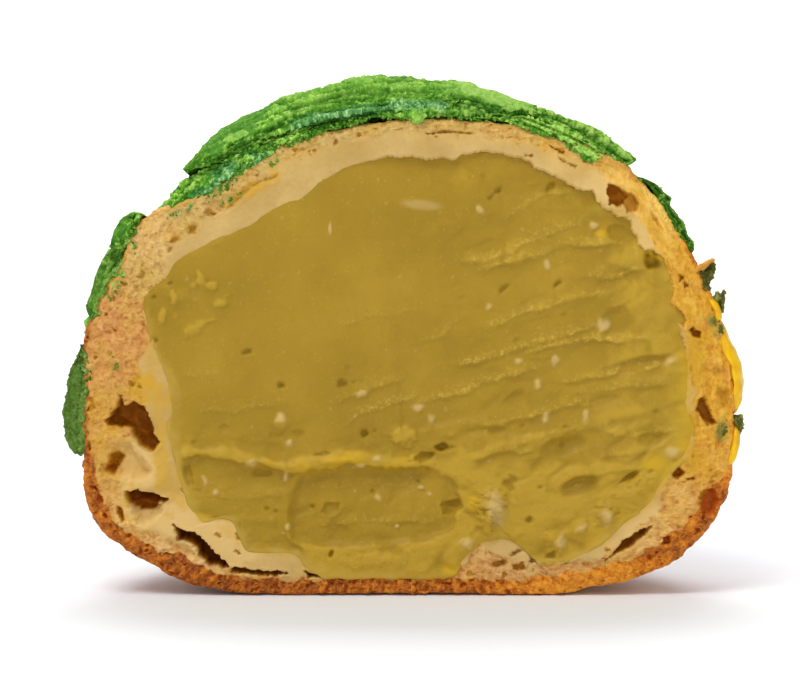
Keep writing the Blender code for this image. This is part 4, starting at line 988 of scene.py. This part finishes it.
def crumble(piece, crumbly, dull, seed, painted_light=0.0):
    """Gives a plate its cracked top and its crumbly broken sides."""
    points = (points_of(piece) - ORIGIN) / SCALE
    normals = normals_of(piece)
    offset = points - (0.0, 0.0, HEART)
    reach = np.linalg.norm(offset, axis=1)
    facing = np.sum(normals * offset / reach[:, None], axis=1)
    patchy = rough(points, 4.5, seed + 6, 2)
    baked = ramp(facing + 0.22 * patchy, 0.5, 0.9) * (1 - 0.5 * ramp(patchy, 0.0, 0.4))
    x, z = points[:, 0], points[:, 2]
    near_cut = ramp(points[:, 1], 8.0, 6.0)
    smooth, light, shady = np.zeros(len(points)), np.full(len(points), 0.5), np.zeros(len(points))
    for middle, long, wide, tilt, share, brightness in SMOOTH_FACES:
        away = spot(x, z, middle, (long, wide), tilt) + 0.5 * rough(points, 2.2, seed + 8, 3, 0.7)
        face = share * (1 - ramp(away, 0.75, 1.1)) * near_cut
        light = np.where(face > smooth, brightness, light)
        smooth = np.maximum(smooth, face)
    for middle, long, wide, tilt, share in SHADY:
        away = spot(x, z, middle, (long, wide), tilt) + 0.6 * rough(points, 1.6, seed + 11, 3, 0.7)
        shady = np.maximum(shady, share * (1 - ramp(away, 0.6, 1.15)) * near_cut)
    line, along_band = along(x, z + 0.3 * swell(points, 1.6, seed + 12), smooth_line(BAND))
    band = ramp(np.abs(line), 0.85, 0.5) * ramp(along_band, 0.0, 0.12) * ramp(along_band, 1.0, 0.92)
    block = 1 - ramp(spot(x, z, (-21.8, 50.5), (8.0, 2.4), 37) + 0.5 * rough(points, 2.6, seed + 13, 3), 0.7, 1.1)
    band = np.maximum(band, 0.75 * block) * near_cut

    slope = np.arctan2(-x, z - 6.0)  # the plates lie along the bun, so their flakes do too
    lengthwise = x * np.cos(slope) + z * np.sin(slope)
    flaky = np.stack([lengthwise / 1.2, points[:, 1] / 1.2, reach], axis=1)
    chunks, chunk_cracks = broken_crumb(flaky, 1.35, seed)
    crumbs = rough(points, 0.95, seed + 1, 4, 0.75)
    fine, fine_cracks = broken_crumb(points, 0.42, seed + 2)
    torn = rough(flaky, 3.4, seed + 3, 4, 0.6)
    gaps = ramp(rough(flaky, 1.25, seed + 9, 3, 0.6), 0.32, 0.62)
    grooves = np.abs(swell(np.stack([lengthwise / 5.0, points[:, 1] / 3.0, reach], axis=1), 1.5, seed + 4))
    groove = ramp(grooves, 0.16, 0.03) * ramp(torn, -0.5, 0.1)
    broken = crumbly * (chunks * 0.56 + torn * 0.40 - gaps * 0.50) + crumbs * 0.48 + fine * 0.20
    smoothed = torn * 0.35 - groove * 0.45 + crumbs * 0.14 + fine * 0.05
    skin = rough(points, 3.6, seed + 5, 4) * 0.40 + crumbs * 0.40 + fine * 0.18 + chunks * 0.26 - gaps * 0.2
    move = broken * (1 - smooth) + smoothed * smooth
    move = move * (1 - baked) + skin * baked * (1 - 0.6 * smooth)
    slim = marked(piece, "thick") if "thick" in piece.data.attributes else np.full(len(points), 9.0)
    points = points + normals * (move * (0.35 + 0.65 * ramp(slim, 0.3, 1.6)))[:, None]
    points[:, 1] = np.maximum(points[:, 1], -0.9)
    move_points(piece, placed(points))
    # cracks: painted shade, dark green in gaps, cracks, the grooves of the smooth faces and the shady places under the
    # plates
    cracks = gaps * min(crumbly, 1.0) + chunk_cracks * 0.35 * crumbly + fine_cracks * 0.2 - crumbs * 0.3
    cracks = np.clip(cracks, 0, 1) * (1 - 0.85 * smooth)
    cracks = np.maximum(cracks, smooth * groove) * (1 - 0.6 * baked)
    cracks = np.maximum(cracks, shady * np.clip(0.75 - 0.9 * crumbs, 0, 1))
    # lit: painted light, lighter where chunks, crumbs and torn bits stand out, plus each plate's painted_light
    lit = 0.5 + painted_light + chunks * 0.42 + crumbs * 0.70 + fine * 0.55 + torn * 0.18
    lit = np.clip(lit, 0, 1) * (1 - smooth) + (light + 0.3 * (lit - 0.5)) * smooth
    for name, values in (("baked", baked), ("hollow", cracks), ("lit", lit), ("band", band), ("smooth", smooth),
                         ("dull", np.full(len(points), dull))):
        mark(piece, name, values)


def remesh(piece, size):
    deselect()
    piece.select_set(True)
    bpy.context.view_layer.objects.active = piece
    evener = piece.modifiers.new("even", "REMESH")
    evener.mode, evener.voxel_size = "VOXEL", size * SCALE
    bpy.ops.object.modifier_apply(modifier=evener.name)


def make_plate(name, upper, lower, back, lean, set_back, seed):
    """A plate of craquelin: its cut edge, carried back over the bun."""
    upper, lower = smooth_line(upper), smooth_line(lower)
    length = np.hypot(*np.diff(upper, axis=0).T).sum()
    columns = int(length / PLATE_PITCH)
    rows = FRONT_ROWS + TOP_ROWS + UNDER_ROWS
    plate, column, row = new_sheet(name, columns, rows)
    share = np.linspace(0, 1, columns + 1)[:, None]
    ends = 1 - np.abs(2 * share - 1) ** 3.0
    top_x, top_z = line_at(upper, share)
    low_x, low_z = line_at(lower, share)
    thick = np.hypot(top_x - low_x, top_z - low_z)
    frayed = swell(np.concatenate([share * length / 3.0, 0 * share, 0 * share + seed], axis=1), 1.0, seed)[:, None]
    deep = back * (0.35 + 0.65 * ends) * (1 + 0.3 * frayed)

    def carried(x, z, y, rise):
        """Points of the cut edge carried back by y, with their height above the skin scaled."""
        turn, reach = np.arctan2(z - HEART, x), np.hypot(x, z - HEART)
        above = (reach - SKIN(turn)) * rise
        return on_skin(turn, np.arcsin(np.clip((y + set_back) / SKIN(turn), 0, 0.9)), above, relief=False)

    up = np.linspace(0, 1, FRONT_ROWS)[None, :]
    front_x, front_z = low_x + (top_x - low_x) * up, low_z + (top_z - low_z) * up
    front = carried(front_x, front_z, thick * lean * (0.15 * up + 0.85 * up ** 1.6), 1.0)
    step = np.linspace(0, 1, TOP_ROWS + 1)[None, 1:] ** 1.4
    top_y = thick * lean + (deep - thick * lean) * step
    top = carried(top_x, top_z, top_y, 1 - 0.25 * step ** 2 - 0.5 * step ** 8)
    step = np.linspace(1, 0, UNDER_ROWS + 1)[None, :-1] ** 1.4
    below = carried(low_x, low_z, deep * step, 1 - 0.6 * step)
    section = np.concatenate([front, top, below], axis=1)
    move_points(plate, placed(section[column, row % rows]))
    mark(plate, "thick", (thick + 0 * section[..., 0])[column, row % rows])
    join_up(plate)
    return plate


def make_front_plates(look):
    for number, (name, facts) in enumerate(PLATES.items()):
        seed = 200 + 10 * number
        plate = make_plate("craquelin_" + name, facts["upper"], facts["lower"], facts["back"], facts["lean"],
                           facts["set_back"], seed)
        crumble(plate, facts["crumbly"], facts["dull"], seed, facts.get("painted_light", 0.0))
        finish_piece(plate, look, "craquelin", *facts["nodes"])


BACK_PLATES = [f"craquelin_{number:02d}" for number in range(8, 19)]


def make_back_plates(look):
    """The plates behind the cut: the frame's own, made even and given the same crumb."""
    for number, node in enumerate(BACK_PLATES):
        deselect()
        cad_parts[node].select_set(True)
        bpy.context.view_layer.objects.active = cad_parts[node]
        bpy.ops.object.duplicate()
        plate = bpy.context.object
        plate.name = plate.data.name = "craquelin_back_" + node[-2:]
        remesh(plate, 0.27)
        softener = plate.modifiers.new("soften", "SMOOTH")
        softener.factor, softener.iterations = 0.5, 5
        bpy.ops.object.modifier_apply(modifier=softener.name)
        crumble(plate, 1.0, 0.1, 400 + 10 * number)
        finish_piece(plate, look, "craquelin", node)


# Small lumps stuck to the right side: outline on the cut, how far back it starts and how deep it is.
CHIPS = {
    "shoulder": dict(outline=[(36.0, 39.0), (36.3, 40.1), (37.1, 40.6), (37.7, 41.3), (38.4, 41.2), (38.5, 40.1),
                              (38.1, 39.0), (37.8, 38.0), (37.3, 37.4), (36.8, 37.5), (36.3, 38.1)],
                     start=-0.5, deep=2.8),
    "side": dict(outline=[(38.0, 36.8), (38.6, 37.2), (39.1, 37.3), (39.4, 37.9), (39.7, 37.3), (39.6, 36.1),
                          (39.4, 34.9), (39.0, 34.8), (38.8, 35.8), (38.5, 36.3)], start=-0.2, deep=2.4),
    "low": dict(outline=[(40.7, 21.0), (40.8, 22.2), (41.5, 22.4), (42.0, 21.4), (41.8, 20.2), (41.3, 19.8)],
                start=-0.2, deep=2.2),
}


DRIP = [(1.0, 59.6), (0.9, 58.9), (1.3, 58.3), (2.0, 58.1), (2.7, 58.5), (2.8, 59.2), (2.3, 59.8)]  # a soft bit of dough


def make_lump(name, outline, start, deep, plumpness):
    """A rounded lump whose outline is seen on the cut."""
    outline = smooth_loop(outline, 6)
    lump, column, row = new_sheet(name, len(outline), 12)
    middle = outline.mean(axis=0)
    part = row / 12
    width = np.sin(part * np.pi) ** plumpness
    spread = middle + (outline[column % len(outline)] - middle) * width[:, None]
    move_points(lump, placed(np.stack([spread[:, 0], start + part * deep, spread[:, 1]], axis=1)))
    join_up(lump)
    remesh(lump, 0.13)
    return lump


def make_chips(look):
    """The crumbs of craquelin as large as a lentil that stick to the right side."""
    for number, (name, facts) in enumerate(CHIPS.items()):
        chip = make_lump("craquelin_bit_" + name, facts["outline"], facts["start"], facts["deep"], 0.6)
        crumble(chip, 0.7, 1.4, 600 + 10 * number)
        # painted shade over the whole chip
        mark(chip, "hollow", np.maximum(marked(chip, "hollow"), 0.35))
        finish_piece(chip, look, "craquelin", "craquelin_chip_" + name)
    drip = make_lump("craquelin_drip", DRIP, -1.2, 2.0, 0.5)
    crumble(drip, 0.25, 0.0, 640)
    mark(drip, "lit", np.full(len(drip.data.vertices), 0.7))
    finish_piece(drip, look, "craquelin", "craquelin_04")


# ---------------------------------------------------------------- custard and crumbs
CUSTARD = {  # thin custard smeared down the right side
    "high": dict(outline=[(37.1, 37.3), (37.9, 36.8), (38.7, 36.2), (39.2, 35.2), (39.2, 34.2), (38.6, 33.8),
                          (38.2, 35.0), (37.6, 36.1)], start=-0.6, deep=2.4),
    "middle": dict(outline=[(38.5, 34.0), (39.3, 34.0), (39.9, 32.7), (40.3, 31.8), (40.9, 30.7), (41.5, 29.4),
                            (41.9, 27.8), (42.0, 26.4), (42.0, 24.9), (41.8, 23.7), (41.4, 22.8), (40.8, 22.5),
                            (40.7, 24.2), (40.7, 25.6), (40.5, 26.6), (40.3, 27.9), (39.8, 29.2), (39.1, 30.4),
                            (38.7, 31.4), (38.4, 32.6)], start=-0.7, deep=5.4),
    "low": dict(outline=[(40.7, 20.9), (41.4, 21.0), (41.6, 19.6), (41.4, 17.7), (40.8, 16.2), (40.0, 15.6),
                         (39.7, 16.4), (40.1, 17.4), (40.5, 18.6)], start=-0.6, deep=4.0),
}


def make_shred(look):
    """A shred of choux over the highest chip on the right."""
    outline = [(35.8, 39.9), (36.3, 40.8), (37.2, 41.3), (38.0, 41.6), (38.3, 41.3), (37.5, 40.9), (36.8, 40.3)]
    shred = make_lump("choux_shred", outline, -0.6, 1.6, 0.6)
    points = (points_of(shred) - ORIGIN) / SCALE
    fluff, _ = open_crumb(points, 660)
    move_points(shred, placed(points + normals_of(shred) * (0.3 * fluff)[:, None]))
    # grain here is painted light, lighter where the fluff stands out
    for name, value in (("crumb", 1.0), ("gold", 0.6), ("rosy", 1.0), ("grain", 0.5 + 0.7 * fluff)):
        mark(shred, name, np.full(len(points), value))
    finish_piece(shred, look, "choux")


def make_custard(look):
    for number, (name, facts) in enumerate(CUSTARD.items()):
        smear = make_lump("custard_" + name, facts["outline"], facts["start"], facts["deep"], 0.35)
        points = (points_of(smear) - ORIGIN) / SCALE
        points += normals_of(smear) * (0.16 * swell(points, 1.6, 700 + number))[:, None]
        move_points(smear, placed(points))
        finish_piece(smear, look, "cream")


# Where green crumbs lie on the cut: middle, half width, half height, tilt and how many.
CRUMB_PLACES = [
    ((-16.4, 54.8), 1.5, 0.8, 30, 60), ((-15.7, 53.5), 0.9, 0.3, 30, 8), ((-19.2, 52.7), 1.3, 0.7, 40, 36),
    ((-24.7, 45.6), 0.4, 0.4, 0, 5), ((-35.4, 29.6), 0.4, 0.6, 70, 9), ((-35.1, 28.3), 0.25, 0.3, 0, 4),
    ((-12.0, 56.4), 2.6, 0.5, 22, 50), ((-6.4, 58.2), 2.6, 0.4, 14, 36), ((0.5, 58.9), 3.2, 0.3, 0, 28),
    ((8.0, 58.8), 4.4, 0.35, -3, 40), ((-22.0, 50.2), 3.0, 0.6, 38, 30), ((-33.0, 44.9), 0.4, 0.9, -60, 14),
    ((-34.8, 38.5), 0.4, 2.4, -25, 16), ((18.0, 56.4), 3.6, 0.3, -24, 20), ((-28.2, 46.8), 1.0, 0.4, 30, 8),
    ((-21.0, 48.9), 1.6, 0.6, 35, 5), ((-16.6, 52.4), 1.4, 0.5, 30, 5),
]
SMEARED = [  # green rubbed into the right wall: middle, half width, half height, tilt and how many
    ((38.6, 33.4), 0.5, 1.2, 20, 16), ((39.5, 20.8), 0.4, 1.1, -8, 14),
]


def make_crumbs(name, places, seed):
    """Crumbs of craquelin of many sizes, lying on the cut."""
    chance = random.Random(seed)
    first = new_piece(name, bpy.ops.mesh.primitive_ico_sphere_add, subdivisions=2, radius=0.5 * SCALE)
    points = points_of(first) / SCALE
    points *= (1 + 0.95 * swell(points, 0.34, seed))[:, None]
    with editing(first):
        bpy.ops.mesh.select_all(action="SELECT")
        bpy.ops.transform.resize(value=(1.0, 0.8, 0.9), center_override=(0, 0, 0))
    move_points(first, points * SCALE)
    copies = []
    for middle, wide, high, tilt, count in places:
        turn = math.radians(tilt)
        for _ in range(count):
            part = math.sqrt(chance.random())
            around = chance.uniform(0, 2 * math.pi)
            across, up = wide * part * math.cos(around), high * part * math.sin(around)
            x = middle[0] + across * math.cos(turn) - up * math.sin(turn)
            z = middle[1] + across * math.sin(turn) + up * math.cos(turn)
            size = chance.uniform(0.22, 0.42) + 0.5 * chance.random() ** 4 * (1 - part)
            crumb = bpy.data.objects.new(name, first.data.copy())
            bpy.context.scene.collection.objects.link(crumb)
            crumb.location = placed((x, chance.uniform(-0.1, 0.25), z))
            crumb.rotation_euler = [chance.uniform(0, 2 * math.pi) for _ in range(3)]
            crumb.scale = [size * chance.uniform(0.55, 1.45) for _ in range(3)]
            copies.append(crumb)
    bpy.data.objects.remove(first)
    deselect()
    for crumb in copies:
        crumb.select_set(True)
    bpy.context.view_layer.objects.active = copies[0]
    bpy.ops.object.join()
    crumbs = bpy.context.object
    crumbs.name = crumbs.data.name = name
    bpy.ops.object.transform_apply(location=True, rotation=True, scale=True)
    return crumbs


def finish_crumbs(crumbs, look, dull, seed):
    points = (points_of(crumbs) - ORIGIN) / SCALE
    fine, cracks = broken_crumb(points, 0.3, seed)
    shade = 0.18 * (1 + swell(points, 1.1, seed + 1))
    for name, values in (("baked", 0), ("hollow", np.maximum(cracks * 0.5, shade)), ("lit", 0.5 + 0.6 * fine),
                         ("dull", dull), ("band", 0.0), ("smooth", 0.0)):
        mark(crumbs, name, np.full(len(points), values))
    finish_piece(crumbs, look, "craquelin")


# ---------------------------------------------------------------- the looks
class Wire:
    """A socket that can be used in sums: each operator adds a Math node."""

    def __init__(self, look, socket):
        self.look, self.socket = look, socket

    def sum(self, operation, first, second):
        return self.look.node("Math", {"operation": operation}, {0: first, 1: second})

    def __add__(self, other):
        return self.sum("ADD", self, other)

    def __sub__(self, other):
        return self.sum("SUBTRACT", self, other)

    def __rsub__(self, other):
        return self.sum("SUBTRACT", other, self)

    def __mul__(self, other):
        return self.sum("MULTIPLY", self, other)

    __radd__, __rmul__ = __add__, __mul__


class Look:
    """A material, built from nodes."""

    def __init__(self, name, **constants):
        self.material = bpy.data.materials.new(name)
        self.material.use_nodes = True
        self.tree = self.material.node_tree
        self.shader = self.tree.nodes["Principled BSDF"]
        self.place = self.node("TexCoord", output="Object")
        for socket, value in constants.items():
            self.shader.inputs[socket.replace("_", " ")].default_value = value

    def node(self, kind, settings=None, inputs=None, output=0):
        made = self.tree.nodes.new("ShaderNode" + kind)
        for key, value in (settings or {}).items():
            if key == "stops":
                self.set_stops(made.color_ramp, value)
            else:
                setattr(made, key, value)
        for key, value in (inputs or {}).items():
            if isinstance(value, Wire):
                self.tree.links.new(value.socket, made.inputs[key])
            else:
                made.inputs[key].default_value = value
        return Wire(self, made.outputs[output])

    @staticmethod
    def set_stops(color_ramp, stops):
        while len(color_ramp.elements) < len(stops):
            color_ramp.elements.new(0.5)
        for element, (position, colour) in zip(color_ramp.elements, stops):
            element.position, element.color = position, (*colour, 1)

    def mark(self, name):
        return self.node("Attribute", {"attribute_name": name}, output="Fac")

    def noise(self, size, detail=3.0, roughness=0.55, where=None):
        """Noise from 0 to 1, with features about size millimetres across."""
        inputs = {"Vector": where or self.place, "Scale": 1000.0 / size, "Detail": detail,
                  "Roughness": roughness}
        return self.node("TexNoise", None, inputs)

    def cells(self, size, feature="F1"):
        return self.node("TexVoronoi", {"feature": feature}, {"Vector": self.place, "Scale": 1000.0 / size})

    def clear(self, value, start, end):
        """0 below start and 1 above end."""
        return self.node("MapRange", {"interpolation_type": "SMOOTHSTEP"},
                         {"Value": value, "From Min": start, "From Max": end})

    def blend(self, first, second, share):
        colours = [(*c, 1) if isinstance(c, tuple) else c for c in (first, second)]
        return self.node("Mix", {"data_type": "RGBA"}, {0: share, 6: colours[0], 7: colours[1]}, output=2)

    def colours(self, value, stops):
        return self.node("ValToRGB", {"stops": stops}, {0: value})

    def finish(self, colour, roughness, bump=None, bump_mm=0.1):
        pairs = {"Base Color": colour, "Roughness": roughness}
        if bump is not None:
            pairs["Normal"] = self.node("Bump", None, {"Height": bump, "Distance": bump_mm / 1000.0,
                                                       "Strength": 1.0}, output="Normal")
        for name, wire in pairs.items():
            self.tree.links.new(wire.socket, self.shader.inputs[name])
        return self.material


def tint(code):
    """A colour as light, from the code that a colour chart gives."""
    parts = [int(code[at:at + 2], 16) / 255 for at in (0, 2, 4)]
    return tuple(p / 12.92 if p <= 0.04045 else ((p + 0.055) / 1.055) ** 2.4 for p in parts)


def cream_look():
    look = Look("cut_cream", Subsurface_Weight=0.25, Subsurface_Radius=(0.9e-3, 0.6e-3, 0.15e-3),
                Subsurface_Scale=1.0, IOR=1.42)
    look.shader.inputs["Specular IOR Level"].default_value = 0.22
    cloudy = look.noise(9.0, 3.0)
    fine = look.noise(0.9, 4.0, 0.65)
    speck = look.noise(0.35, 2.0, 0.6)
    base = look.colours(cloudy, [(0.3, tint("a07f1e")), (0.55, tint("a98722")), (0.75, tint("b18e29"))])
    # painted shade where the cream lies low and painted light where it stands high
    base = look.blend(base, tint("98781f"), look.clear(look.mark("low"), 0.6, 1.0) * 0.3)
    base = look.blend(base, tint("c29e30"), look.clear(look.mark("low"), 0.30, 0.0) * 0.75)
    base = look.blend(base, tint("9c7914"), look.clear(fine, 0.55, 0.8) * 0.5)
    base = look.blend(base, tint("c9a63a"), look.clear(speck, 0.60, 0.76) * 0.45)
    # painted highlight: pale specks along the ridges' crests
    base = look.blend(base, tint("d6b654"), look.mark("crest") * look.clear(speck, 0.42, 0.6) * 0.8)
    base = look.blend(base, tint("cda31c"), look.mark("yellow"))
    base = look.blend(base, tint("d4b674"), look.mark("pale") * 0.85)
    base = look.blend(base, tint("c4a244"), look.mark("edge") * 0.6)
    gloss = look.noise(3.0, 2.0) * 0.16 + 0.38
    height = fine * 0.6 + look.noise(0.22, 2.0) * 0.4
    return look.finish(base, gloss, height, 0.06)


def choux_look():
    look = Look("baked_choux", Subsurface_Weight=0.18, Subsurface_Radius=(1.2e-3, 0.7e-3, 0.3e-3),
                Subsurface_Scale=1.0, IOR=1.4)
    look.shader.inputs["Specular IOR Level"].default_value = 0.22
    crust, crumb, hole = look.mark("crust"), look.mark("crumb"), look.mark("hole")
    brown, gold, grain = look.mark("brown"), look.mark("gold"), look.mark("grain")
    cloudy, patchy, fine = look.noise(6.0, 3.0), look.noise(1.6, 4.0, 0.65), look.noise(0.5, 3.0, 0.65)
    lining = look.colours(cloudy + (fine - 0.5) * 0.25, [(0.3, tint("bd9a55")), (0.5, tint("c8a664")),
                                                         (0.72, tint("d6b674"))])
    outward = look.clear(look.mark("outward") + (cloudy - 0.5) * 0.5, 0.15, 0.75)
    lining = look.blend(lining, tint("e3b452"), gold * look.clear(outward, -0.4, 1.0))
    lining = look.blend(lining, tint("e2be78"), look.mark("milky") * 0.8)
    # grain: painted light and shade that follow the crumb's relief on the cut; on the crust behind the cut it is random
    # tone
    tone = grain * 0.55 + patchy * 0.3 + fine * 0.3 - 0.08
    pale = look.colours(tone, [(0.2, tint("a98542")), (0.42, tint("c2a058")), (0.6, tint("d2b269")),
                               (0.82, tint("e6cb92"))])
    rosy = look.colours(tone, [(0.2, tint("b47434")), (0.42, tint("ca8c48")), (0.6, tint("d8a05a")),
                               (0.82, tint("e9c280"))])
    golden = look.colours(tone, [(0.2, tint("ba7218")), (0.42, tint("cc8e24")), (0.62, tint("dca432")),
                                 (0.85, tint("efc050"))])
    crumb_colour = look.blend(pale, rosy, look.clear(look.mark("rosy") + (cloudy - 0.5) * 1.2, 0.1, 0.9))
    crumb_colour = look.blend(crumb_colour, golden, gold)
    whitish = look.colours(tone, [(0.2, tint("b07c3e")), (0.42, tint("cf9f5a")), (0.62, tint("e4bd7c")),
                                  (0.82, tint("f2d59e"))])
    whitish = look.blend(whitish, tint("f4c456"), gold * 0.9)
    crumb_colour = look.blend(crumb_colour, whitish, look.mark("milky") * 0.85)
    # where grain is high the crust is painted lighter: painted light on its raised bits
    baked = brown + (patchy - 0.5) * 1.3 + (fine - 0.5) * 0.9 - (grain - 0.5) * 0.55
    crust_colour = look.colours(baked, [(0.0, tint("eb9c30")), (0.3, tint("d37e22")), (0.62, tint("ab5f20")),
                                        (0.95, tint("7c330c"))])
    # pale tan where the crust is little rosy and bright yellow where it is golden and barely brown: partly the crust's
    # own colour, partly a painted highlight along the rim at the upper right
    crust_colour = look.blend(crust_colour, tint("d8ae58"), look.clear(look.mark("rosy"), 0.38, 0.12) * 0.85)
    crust_colour = look.blend(crust_colour, tint("ffd066"), gold * look.clear(brown, 0.06, 0.0))
    colour = look.blend(lining, crumb_colour, crumb)
    colour = look.blend(colour, tint("d0a028"), look.mark("stain") * 0.85)
    colour = look.blend(colour, crust_colour, crust)
    colour = look.blend(colour, tint("c4703a"), look.mark("toasted") * 0.55)
    # painted shade: darker brown in the air pockets, pits and gaps, redder in the crust
    inside = look.colours(hole, [(0.1, tint("c8982c")), (0.45, tint("c27e1a")), (1.0, tint("8c4a06"))])
    inside = look.blend(inside, tint("c0601c"), crust)
    colour = look.blend(colour, inside, look.clear(hole, 0.0, 0.35))
    colour = look.blend(colour, tint("5f6c30"), look.mark("rubbed") * look.clear(patchy, 0.25, 0.6) * 0.85)
    gloss = look.noise(1.2, 2.0) * 0.25 + 0.45
    height = fine * (0.2 + crumb + crust * 1.3) + look.noise(0.22, 2.0) * (0.12 + 0.7 * crust)
    return look.finish(colour, gloss, height, 0.14)


def craquelin_look():
    look = Look("green_craquelin", IOR=1.45)
    look.shader.inputs["Specular IOR Level"].default_value = 0.2
    baked, hollow, dull, lit, band, smooth = (
        look.mark(name) for name in ("baked", "hollow", "dull", "lit", "band", "smooth"))
    patchy, fine, tiny = look.noise(2.6, 4.0, 0.6), look.noise(0.5, 3.0, 0.65), look.noise(0.24, 2.0, 0.6)
    tone = lit * 0.6 + patchy * 0.25 + fine * 0.4 + tiny * 0.35 - 0.3
    broken = look.colours(tone, [(0.15, tint("2f7008")), (0.38, tint("5f9f26")), (0.56, tint("8ac445")),
                                 (0.78, tint("bce66a"))])
    underside = look.colours(tone, [(0.18, tint("2f6e2a")), (0.42, tint("4f9446")), (0.62, tint("78b468")),
                                    (0.82, tint("b0dc9c"))])
    broken = look.blend(broken, underside, look.clear(band + (patchy - 0.5) * 0.5, 0.25, 0.75) * 0.9)
    # painted shade in the cracks and under the plates
    broken = look.blend(broken, tint("1c5803"), hollow * 0.85)
    faces = look.colours(tone, [(0.2, tint("3f7c1e")), (0.4, tint("609a32")), (0.58, tint("86b84a")),
                                (0.75, tint("a2cb5e"))])
    broken = look.blend(broken, faces, smooth * (1.0 - hollow * 0.8))
    skin = look.colours(patchy * 0.5 + fine * 0.3 + lit * 0.2, [(0.34, tint("4f8a20")), (0.5, tint("7cb03a")),
                                                                (0.68, tint("a8d060"))])
    skin = look.blend(skin, faces, smooth)
    colour = look.blend(broken, skin, baked * 0.85)
    shaded = look.colours(tone, [(0.2, tint("3c5810")), (0.42, tint("587428")), (0.62, tint("6f883e")),
                                 (0.85, tint("98ae5e"))])
    colour = look.blend(colour, shaded, look.clear(dull, 0.0, 1.0))
    olive = look.colours(tone, [(0.15, tint("4e4c12")), (0.4, tint("6c6a2c")), (0.6, tint("86843e")),
                                (0.85, tint("aeae64"))])
    colour = look.blend(colour, olive, look.clear(dull, 1.0, 1.5))
    height = fine * 0.6 + tiny * 0.5
    return look.finish(colour, fine * 0.25 + 0.55, height, 0.16)


def custard_look():
    look = Look("yellow_custard", Subsurface_Weight=0.3, Subsurface_Radius=(1.2e-3, 0.8e-3, 0.1e-3),
                Subsurface_Scale=1.0, IOR=1.42, Specular_IOR_Level=0.35)
    cloudy, fine = look.noise(2.4, 3.0), look.noise(0.5, 2.0)
    colour = look.colours(cloudy, [(0.3, tint("e6a60a")), (0.5, tint("f0ba0c")), (0.7, tint("f8cc1c"))])
    return look.finish(colour, fine * 0.15 + 0.25, fine, 0.05)


# ---------------------------------------------------------------- stage, light and camera
def make_backdrop():
    """A pale floor that curves up into a wall."""
    sweep = new_piece("backdrop", bpy.ops.mesh.primitive_plane_add, size=4.0, location=(0, -1.1, 0))
    with editing(sweep):
        bpy.ops.mesh.select_all(action="DESELECT")
        edges = bmesh.from_edit_mesh(sweep.data).edges
        for edge in edges:
            edge.select = all(vert.co.y > 0.5 for vert in edge.verts)
        bmesh.update_edit_mesh(sweep.data)
        bpy.ops.mesh.extrude_edges_move(TRANSFORM_OT_translate={"value": (0, 0, 2.0)})
        bpy.ops.mesh.select_all(action="DESELECT")
        edges = bmesh.from_edit_mesh(sweep.data).edges
        for edge in edges:
            edge.select = all(vert.co.y > 0.5 and vert.co.z < 0.01 for vert in edge.verts)
        bmesh.update_edit_mesh(sweep.data)
        bpy.ops.mesh.bevel(offset=0.45, segments=16, affect="EDGES")
    sweep.data.shade_smooth()
    look = Look("backdrop_paint", Roughness=0.9)
    shade = look.noise(60.0, 2.0)
    colour = look.colours(shade, [(0.3, (0.90, 0.92, 0.945)), (0.7, (0.915, 0.935, 0.96))])
    sweep.data.materials.append(look.finish(colour, shade * 0.05 + 0.85))


def make_lamp(name, place, aim, size, power):
    light = bpy.data.lights.new(name, "AREA")
    light.size, light.energy = size, power
    lamp = bpy.data.objects.new(name, light)
    lamp.location = place
    lamp.rotation_euler = (Vector(aim) - Vector(place)).to_track_quat("-Z", "Y").to_euler()
    bpy.context.scene.collection.objects.link(lamp)


def make_light():
    world = bpy.data.worlds.new("studio")
    bpy.context.scene.world = world
    world.use_nodes = True
    background = world.node_tree.nodes["Background"]
    background.inputs["Color"].default_value = (1, 1, 1, 1)
    background.inputs["Strength"].default_value = 0.36
    make_lamp("key_light", (-0.16, -0.26, 0.50), (0, 0, 0.03), 0.30, 1.75)
    make_lamp("front_light", (0.10, -0.60, 0.12), (0, 0, 0.03), 0.50, 0.75)
    make_lamp("backdrop_light", (0, 0.60, 1.0), (0, 1.1, 0.2), 0.8, 11.0)


def make_camera():
    camera = bpy.data.cameras.new("camera")
    camera.lens, camera.sensor_width = 135, 36
    low, high = cad_box
    shown = 84.0 / 685 * 800 * SCALE  # the width that the frame takes in
    distance = shown * camera.lens / camera.sensor_width
    rise = math.radians(4.0)
    aim = Vector((placed((0, 0, 0))[0] - 0.3 * SCALE, low.y, 30.4 * SCALE))
    eye = bpy.data.objects.new("camera", camera)
    eye.location = aim + Vector((0, -math.cos(rise), math.sin(rise))) * distance
    eye.rotation_euler = (aim - eye.location).to_track_quat("-Z", "Y").to_euler()
    camera.clip_start, camera.clip_end = 0.01, 20
    bpy.context.scene.collection.objects.link(eye)
    bpy.context.scene.camera = eye


choux = choux_look()
make_cream(cream_look())
make_choux_faces(choux)
make_choux_crust(choux)
craquelin = craquelin_look()
make_front_plates(craquelin)
make_back_plates(craquelin)
make_chips(craquelin)
finish_crumbs(make_crumbs("green_crumbs", CRUMB_PLACES, 5), craquelin, 0.1, 801)
finish_crumbs(make_crumbs("green_smears", SMEARED, 6), craquelin, 1.3, 802)
make_shred(choux)
make_custard(custard_look())
make_backdrop()
make_light()
make_camera()
bpy.context.scene.view_settings.view_transform = "Standard"
